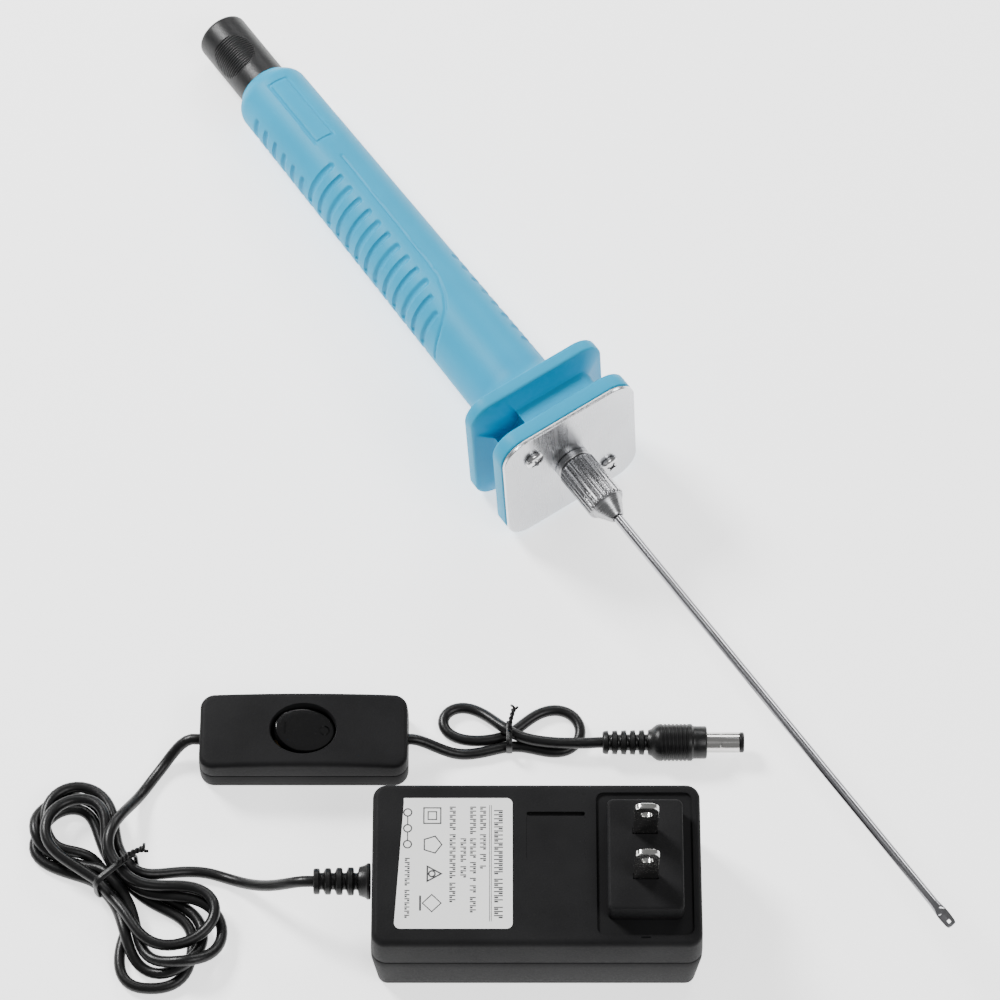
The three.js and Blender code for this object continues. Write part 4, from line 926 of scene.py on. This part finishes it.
def needle_rings():
    turn = full_turn(64)
    scoop = NEEDLE_END - 6.4
    keys = [(NEEDLE_START, 1.15, 1.15), (NEEDLE_START + 0.2, 1.3, 1.3), (scoop - 1.4, 1.3, 1.3),
            (scoop + 1.2, 1.46, 0.97), (scoop + 3, 1.55, 0.7), (NEEDLE_END - 0.9, 1.43, 0.7),
            (NEEDLE_END - 0.25, 1.25, 0.6), (NEEDLE_END, 1.1, 0.5)]
    stations = np.concatenate([np.linspace(NEEDLE_START, scoop - 1.4, 40),
                               np.linspace(scoop - 1.3, NEEDLE_END, 40)])
    rings = []
    for s in stations:
        wide = np.interp(s, [k[0] for k in keys], [k[1] for k in keys])
        thick = np.interp(s, [k[0] for k in keys], [k[2] for k in keys])
        x = wide * np.cos(turn)
        y = thick * np.sin(turn)
        share = min(max((s - scoop - 0.6) / 2.0, 0), 1)
        hollow = share * share * (3 - 2 * share)
        dish = -0.34 * (1 - (x / wide) ** 2)
        y = np.where(y > 0, y * (1 - hollow) + hollow * (0.16 * (x / wide) ** 2 * np.sin(turn) + dish), y)
        rings.append(np.stack([x, y, np.full(len(turn), s)], axis=1))
    return rings


needle_mesh = drilled(loft_mesh("needle", needle_rings()),
                      box_mesh("slot", (0.8, 4, 1.0), (0, 0, NEEDLE_END - 1.5)))
moved(needle_mesh, (0, 0, 0), Matrix.Rotation(math.radians(22), 3, "Z"))
new_object("needle_visual", needle_mesh, NEEDLE_STEEL, "needle", PEN_FRAME,
           ("needle_tube",), 40)

# ---------------------------------------------------------------- adapter

ADAPTER_HALF_X = ADAPTER_HIGH.x
ADAPTER_HALF_Y = ADAPTER_HIGH.y
ADAPTER_TOP = ADAPTER_HIGH.z
ADAPTER_CORNER = 4.0
WALL = 2.2
BLOCK_X = (BLOCK_LOW.x + BLOCK_HIGH.x) / 2
LABEL_X = (LABEL_LOW.x + LABEL_HIGH.x) / 2


def adapter_ring(inset, z):
    return inset_ring(ADAPTER_HALF_X, ADAPTER_HALF_Y, ADAPTER_CORNER, inset, z)


def top_shell_mesh():
    rows = [(WALL, ADAPTER_TOP - WALL - 0.8), (WALL, PARTING + 0.1), (0.4, PARTING + 0.1),
            (0.08, PARTING + 0.3), (0.0, PARTING + 0.7), (0.3, ADAPTER_TOP - 2.4)]
    rows += rounded_edge(0.3, 1.7, ADAPTER_TOP, 1.9, 0.15, 9)
    shell = loft_mesh("top_shell", [adapter_ring(inset, z) for inset, z in rows])

    def pocket(half_x, half_y, corner, depth, x, y):
        rings = [inset_ring(half_x, half_y, corner, inset, z) for inset, z in
                 ((0.35, ADAPTER_TOP - depth), (0.0, ADAPTER_TOP - depth + 0.3), (-0.05, ADAPTER_TOP + 1))]
        return moved(loft_mesh("pocket", rings), (x, y, 0))

    tick = box_mesh("tick", (2.4, 0.45, 0.8), (BLOCK_X, -ADAPTER_HALF_Y + 2.3, ADAPTER_TOP))
    slot = moved(loft_mesh("slot", [inset_ring(7.6, 0.55, 0.5, 0, z) for z in
                                    (ADAPTER_TOP - 1.3, ADAPTER_TOP + 1)]), (BLOCK_X - 23, 14.0, 0))
    return drilled(shell, pocket(12.5, 20, 2, 0.8, BLOCK_X, 0), pocket(7.9, 7.2, 1.6, 0.1, BLOCK_X - 23, 7.2),
                   tick, slot)


new_object("adapter_top", top_shell_mesh(), ADAPTER_BLACK, ROOT, None,
           ("adapter_top_shell",))


def bottom_shell_mesh():
    rows = [(WALL + 1.4, WALL), (WALL, PARTING - 0.1), (0.4, PARTING - 0.1), (0.08, PARTING - 0.3),
            (0.0, PARTING - 0.7), (0.0, PARTING - 3), (1.4, 1.2), (1.55, 0.6), (1.9, 0.18), (2.4, 0.0)]
    return loft_mesh("bottom_shell", [adapter_ring(inset, z) for inset, z in rows])


new_object("adapter_bottom", bottom_shell_mesh(), ADAPTER_BLACK, ROOT, None,
           ("adapter_bottom_shell",))


def plug_block_mesh():
    half_x = (BLOCK_HIGH.x - BLOCK_LOW.x) / 2
    half_y = (BLOCK_HIGH.y - BLOCK_LOW.y) / 2
    rows = [(0, BLOCK_LOW.z), (0, BLOCK_HIGH.z - 0.95)]
    rows += rounded_edge(0, 0.9, BLOCK_HIGH.z, 0.9, 0.2, 7)
    block = loft_mesh("block", [inset_ring(half_x, half_y, 1.6, inset, z) for inset, z in rows])
    slots = [box_mesh("slot", (6.6, 1.75, 8), (0, side * 6.35, BLOCK_HIGH.z)) for side in (-1, 1)]
    return moved(drilled(block, *slots), (BLOCK_X, 0, 0))


new_object("plug_block", plug_block_mesh(), ADAPTER_BLACK, ROOT, None,
           ("adapter_plug_block",))


def blade_mesh(side):
    half = 6.35 / 2
    foot, top = 25.0, 52.3
    outline = [(-half, foot), (half, foot)]
    outline += [(half * math.cos(a) ** 0.6 if math.cos(a) > 0 else -half * (-math.cos(a)) ** 0.6,
                 top - half * 0.75 * (1 - math.sin(a))) for a in np.linspace(0.02, math.pi - 0.02, 25)]
    outline = np.array(outline)
    rings = []
    for inset, y in ((0.22, -0.75), (0, -0.53), (0, 0.53), (0.22, 0.75)):
        x = outline[:, 0] * (half - inset) / half
        z = np.where(outline[:, 1] > top - 4, top - (top - outline[:, 1]) - inset, outline[:, 1])
        rings.append(np.stack([x, np.full(len(x), y), z], axis=1))
    hole = turned("hole", [(1.6, -3), (1.6, 3)], 48)
    moved(hole, (0, 0, top - 4.2), Matrix.Rotation(math.radians(90), 3, "X"))
    return moved(drilled(loft_mesh("blade", rings), hole), (BLOCK_X, side * 6.35, 0))


new_object("blade_front", blade_mesh(-1), NICKEL, ROOT, None, ("adapter_blade_front",))
new_object("blade_rear", blade_mesh(1), NICKEL, ROOT, None, ("adapter_blade_rear",))


def label_mesh():
    half_x = (LABEL_HIGH.x - LABEL_LOW.x) / 2
    half_y = (LABEL_HIGH.y - LABEL_LOW.y) / 2
    outline = rounded_outline(half_x, half_y, 1.6, 8)
    kept = [(max(x, -half_x + 2.2) if y > half_y - 2.2 and x < -half_x + 2.2 else x, y) for x, y in outline]
    rings = [[(x, y, z) for x, y in kept] for z in (LABEL_LOW.z + 0.02, LABEL_HIGH.z)]
    return moved(loft_mesh("label", rings), (LABEL_X, 0, 0))


def label_print_mesh():
    """Printing that says nothing: rows of short bars that run down the label, and plain symbols."""
    chance = np.random.default_rng(7)
    half_y = (LABEL_HIGH.y - LABEL_LOW.y) / 2
    top = LABEL_HIGH.z + 0.01
    start = half_y - 2.6
    pieces = []

    def bar(x, y, width, depth):
        pieces.append(box_mesh("bar", (width, depth, 0.02), (LABEL_X + x, y, top)))

    def ring(x, y, outer, inner, sides=40):
        profile = [(outer, -0.01), (outer, 0.01), (inner, 0.01), (inner, -0.01)]
        pieces.append(moved(turned("ring", profile, sides, True), (LABEL_X + x, y, top)))

    def frame_of_bars(x, y, half, line):
        for side in (-1, 1):
            bar(x + side * half, y, line, 2 * half + line)
            bar(x, y + side * half, 2 * half + line, line)

    rows = ((11.6, 2.3, 1.0, 31.0), (7.6, 1.6, 0.0, 17.0), (5.0, 1.6, 0.0, 30.0), (2.5, 1.5, 9.0, 20.0),
            (-0.3, 1.6, 0.0, 27.0), (-12.0, 1.3, 14.5, 31.0))
    for x, height, begin, end in rows:
        y = begin
        while y < end:
            bar(x, start - y, height, 0.3)
            bar(x + chance.choice((-0.25, 0.25)) * height, start - y - 0.5, height * 0.45, 0.42)
            y += 1.15 if chance.random() > 0.2 else 2.1
    for x in (9.3, 9.75):
        bar(x, 0, 0.16, 2 * half_y - 4)
    symbols = (start - 2.4, start - 10.6, start - 18.8, start - 27.0)
    frame_of_bars(-5.6, symbols[0], 2.2, 0.32)
    frame_of_bars(-5.6, symbols[0], 1.1, 0.28)
    ring(-5.6, symbols[1], 2.7, 2.3, 5)
    ring(-5.6, symbols[2], 2.8, 2.0, 3)
    ring(-5.6, symbols[2], 1.0, 0.6)
    ring(-5.6, symbols[3], 2.6, 2.2, 4)
    bar(-8.6, symbols[3], 0.5, 4.2)
    for y in (start - 1.5, start - 6.0, start - 10.5):
        ring(-12.0, y, 1.2, 0.85)
    bar(-12.0, start - 3.75, 0.28, 2.2)
    bar(-12.0, start - 8.25, 0.28, 2.2)
    return merged("label_print", pieces)


new_object("rating_label", label_mesh(), LABEL_WHITE, ROOT, None, ("adapter_label",))
new_object("rating_label_print", label_print_mesh(), LABEL_INK, ROOT)


def ribbed(foot, foot_length, ring, last_ring, necks, start, end, neck=2.25):
    """Profile of a moulded strain relief: a foot, then rings parted by narrow necks."""
    profile = [(foot - 0.3, 0), (foot, 0.25), (foot, foot_length - 0.6), (foot - 0.5, foot_length),
               (ring, start)]
    pitch = (end - start) / necks
    for i in range(necks):
        z = start + i * pitch
        outer = ring + (last_ring - ring) * (i + 1) / necks
        profile += [(neck + 0.15, z + 0.12 * pitch), (neck, z + 0.2 * pitch), (neck, z + 0.36 * pitch),
                    (neck + 0.15, z + 0.42 * pitch), (outer - 0.25, z + 0.46 * pitch),
                    (outer, z + 0.56 * pitch), (outer, z + 0.9 * pitch), (outer - 0.25, z + pitch)]
    profile.append((1.6, end))
    return profile


relief_mesh = turned("relief", ribbed(4.8, 1.4, 3.8, 3.4, 4, 3.0, RELIEF_HIGH.x - RELIEF_LOW.x - 5.3), 72)
moved(relief_mesh, (-ADAPTER_HALF_X - 0.3, 0, RELIEF_Z), Matrix.Rotation(math.radians(-90), 3, "Y"))
new_object("adapter_relief", relief_mesh, CORD_BLACK, ROOT, None,
           ("adapter_strain_relief",))

# ---------------------------------------------------------------- switch

SWITCH_X = SWITCH_MID.x
SWITCH_Y = SWITCH_MID.y
SWITCH_HALF_X = (SWITCH_HIGH.x - SWITCH_LOW.x) / 2
SWITCH_HALF_Y = (SWITCH_HIGH.y - SWITCH_LOW.y) / 2
SWITCH_TOP = 14.0
SWITCH_SPLIT = 7.0
SWITCH_CORNER = 4.0


def arched(x):
    return 12.4 + 1.6 * (1 - (x / 29) ** 2)


def with_side_points(ring, parts=16):
    """Splits the two long straight sides of a ring into short stretches."""
    out = []
    count = len(ring)
    for i in range(count):
        a = np.array(ring[i], dtype=float)
        b = np.array(ring[(i + 1) % count], dtype=float)
        out.append(tuple(a))
        if abs(b[0] - a[0]) > SWITCH_HALF_X:
            out += [tuple(a + (b - a) * k / parts) for k in range(1, parts)]
    return out


def switch_top_mesh():
    rows = [(1.8, SWITCH_TOP - 1.9), (1.8, SWITCH_SPLIT + 0.05), (0.35, SWITCH_SPLIT + 0.05),
            (0.06, SWITCH_SPLIT + 0.25), (0.0, SWITCH_SPLIT + 0.6), (0.2, SWITCH_TOP - 1.8)]
    rows += rounded_edge(0.2, 1.3, SWITCH_TOP, 1.5, 0.2, 8)
    rows.append((2.2, SWITCH_TOP))
    rings = []
    for inset, z in rows:
        flat = with_side_points(inset_ring(SWITCH_HALF_X, SWITCH_HALF_Y, SWITCH_CORNER, inset, z, 12))
        ring = []
        for x, y, height in flat:
            arch = (arched(x) - SWITCH_SPLIT) / (SWITCH_TOP - SWITCH_SPLIT)
            lift = arch if height > SWITCH_SPLIT + 0.8 else 1
            ring.append((x, y, SWITCH_SPLIT + (height - SWITCH_SPLIT) * lift))
        rings.append(ring)
    rings += [[(x, y * part, z) for x, y, z in rings[-1]] for part in (0.7, 0.4, 0.0)]
    shell = loft_mesh("switch_top", rings, fans=1)
    turn = full_turn(96)

    def oval(half_x, half_y, z):
        return np.stack([half_x * np.cos(turn), half_y * np.sin(turn), np.full(len(turn), z)], axis=1)

    opening = loft_mesh("opening", [oval(8.75, 7.05, 3.0), oval(8.75, 7.05, 13.3), oval(9.3, 7.6, 14.2),
                                    oval(9.3, 7.6, 16.0)])
    return moved(drilled(shell, opening), (SWITCH_X, SWITCH_Y, 0))


new_object("switch_top", switch_top_mesh(), SWITCH_BLACK, ROOT, None, ("switch_top_shell",))


def switch_bottom_mesh():
    rows = [(1.8, 1.8), (1.8, SWITCH_SPLIT - 0.05), (0.35, SWITCH_SPLIT - 0.05), (0.06, SWITCH_SPLIT - 0.25),
            (0.0, SWITCH_SPLIT - 0.6), (0.0, 2.0), (0.12, 1.1), (0.45, 0.45), (1.0, 0.08), (1.5, 0.0)]
    rings = [inset_ring(SWITCH_HALF_X, SWITCH_HALF_Y, SWITCH_CORNER, inset, z, 12) for inset, z in rows]
    shell = loft_mesh("switch_bottom", rings)
    wells = [moved(turned("well", [(2.0, -1), (2.0, 1.3)], 32), (side * 21, 0, 0)) for side in (-1, 1)]
    return moved(drilled(shell, *wells), (SWITCH_X, SWITCH_Y, 0))


new_object("switch_bottom", switch_bottom_mesh(), SWITCH_BLACK, ROOT, None,
           ("switch_bottom_shell",))


def rocker_mesh():
    turn = full_turn(96)
    half_x, half_y = 8.0, 6.3

    def upper(x):
        return 3.2 - 1.15 * (1 - (x / 9) ** 2)

    def lower(x):
        return 0.2 - 2.4 * np.clip((9 - np.abs(x)) / 6, 0, 1)

    rings = []
    for scale, mode, offset in ((0.15, "low", 0), (0.7, "low", 0), (0.97, "low", 0), (1.0, "low", 0.25),
                                (1.0, "high", -0.6), (0.985, "high", -0.25), (0.95, "high", -0.05),
                                (0.9, "high", 0), (0.7, "high", 0), (0.5, "high", 0), (0.3, "high", 0),
                                (0.12, "high", 0)):
        x = scale * half_x * np.cos(turn)
        y = scale * half_y * np.sin(turn)
        z = (lower(x) if mode == "low" else upper(x)) + offset
        rings.append(np.stack([x, y, z], axis=1))
    mesh = loft_mesh("rocker", rings)
    dimples = [box_mesh("dimple", (0.5, 3.4, 1.4), (-5.4, 0, float(upper(-5.4)) + 0.35))]
    ring = turned("ring", [(1.45, -0.6), (1.45, 0.9), (1.05, 0.9), (1.05, -0.6)], 40, True)
    dimples.append(moved(ring, (5.2, 0, float(upper(5.2)) + 0.3)))
    return drilled(mesh, *dimples)


rocker_place = (Matrix.Translation(Vector((SWITCH_X, SWITCH_Y, 11.0)) * MM)
                @ Matrix.Rotation(math.radians(11), 4, "Y"))
new_object("rocker_cap", rocker_mesh(), ROCKER_BLACK, "rocker", rocker_place,
           ("switch_rocker",))

# ---------------------------------------------------------------- DC plug

PLUG_FRAME = (Matrix.Translation(Vector((PLUG_LOW.x, PLUG_Y, PLUG_Z)) * MM)
              @ Matrix.Rotation(math.radians(90), 4, "Y"))


def plug_body_profile():
    profile = [(1.6, 0), (2.6, 0), (2.95, 0.2), (3.1, 0.5)]
    for i in range(5):
        z = 0.4 + i * 2.4
        outer = 3.2 + 0.05 * i
        profile += [(outer, z + 1.0), (outer - 0.2, z + 1.15), (2.3, z + 1.3), (2.2, z + 1.4), (2.2, z + 2.0),
                    (2.3, z + 2.1), (outer - 0.1, z + 2.25)]
    profile += [(3.45, 12.6), (3.7, 13.2), (4.2, 13.7), (4.75, 14.5), (4.95, 15.1), (5.0, 15.6)]
    for i in range(7):
        z = 16.0 + i * 1.05
        profile += [(5.0, z), (4.78, z + 0.2), (4.78, z + 0.4), (5.0, z + 0.6)]
    profile += [(5.0, 23.7), (4.9, 24.0), (4.55, 24.2), (4.42, 24.5), (4.4, 25.2), (4.4, 27.6), (4.2, 27.9),
                (3.9, 28.0), (2.9, 28.0), (2.85, 27.8), (2.85, 24.2)]
    return profile


new_object("plug_body", turned("plug_body", plug_body_profile(), 96), CORD_BLACK, ROOT,
           PLUG_FRAME, ("dc_plug_body",), 45)
barrel_profile = [(2.3, 24.3), (2.75, 24.3), (2.75, 31.6), (2.68, 31.7), (2.68, 31.9), (2.75, 32.0),
                  (2.75, 36.65), (2.6, 36.8), (2.3, 36.8)]
new_object("plug_barrel", turned("plug_barrel", barrel_profile, 96, True), NICKEL, ROOT, PLUG_FRAME,
           ("dc_plug_barrel",), 30)
tip_profile = [(1.36, 24.4), (2.2, 24.4), (2.2, 36.9), (2.72, 36.9), (2.75, 37.0), (2.75, 37.7), (2.45, 38.0),
               (1.6, 38.0), (1.36, 37.7)]
new_object("plug_tip", turned("plug_tip", tip_profile, 96, True), CORD_BLACK, ROOT, PLUG_FRAME,
           ("dc_plug_tip",), 30)

# ---------------------------------------------------------------- stage

floor_mesh = bpy.data.meshes.new("floor")
reach = 12.0
floor_mesh.from_pydata([(-reach, -reach, 0), (reach, -reach, 0), (reach, reach, 0), (-reach, reach, 0)], [],
                       [(0, 1, 2, 3)])
floor = bpy.data.objects.new("floor", floor_mesh)
bpy.context.scene.collection.objects.link(floor)
floor_look, _, floor_shader = principled("floor_white")
floor_shader.inputs["Base Color"].default_value = (0.9, 0.9, 0.9, 1)
floor_shader.inputs["Roughness"].default_value = 0.7
floor_shader.inputs["Emission Color"].default_value = (1, 1, 1, 1)
floor_shader.inputs["Emission Strength"].default_value = 1.5
floor_mesh.materials.append(floor_look)


def area_light(name, place, target, size, power):
    data = bpy.data.lights.new(name, "AREA")
    data.shape = "RECTANGLE"
    data.size, data.size_y = size
    data.energy = power
    lamp = bpy.data.objects.new(name, data)
    bpy.context.scene.collection.objects.link(lamp)
    lamp.location = place
    lamp.rotation_euler = (Vector(target) - Vector(place)).to_track_quat("-Z", "Y").to_euler()
    return lamp


key = area_light("key", (-0.8, 0.75, 0.95), (0, 0.1, 0), (0.35, 0.35), 30)
fill = area_light("fill", (0.7, -0.5, 1.1), (0, 0.08, 0), (0.6, 0.6), 9)
back = area_light("back", (0.4, 1.2, 0.9), (0, 0.1, 0), (0.8, 0.4), 9)

world = bpy.data.worlds.new("world")
bpy.context.scene.world = world
world.use_nodes = True
world.node_tree.nodes["Background"].inputs["Color"].default_value = (1, 1, 1, 1)
world.node_tree.nodes["Background"].inputs["Strength"].default_value = 0.28
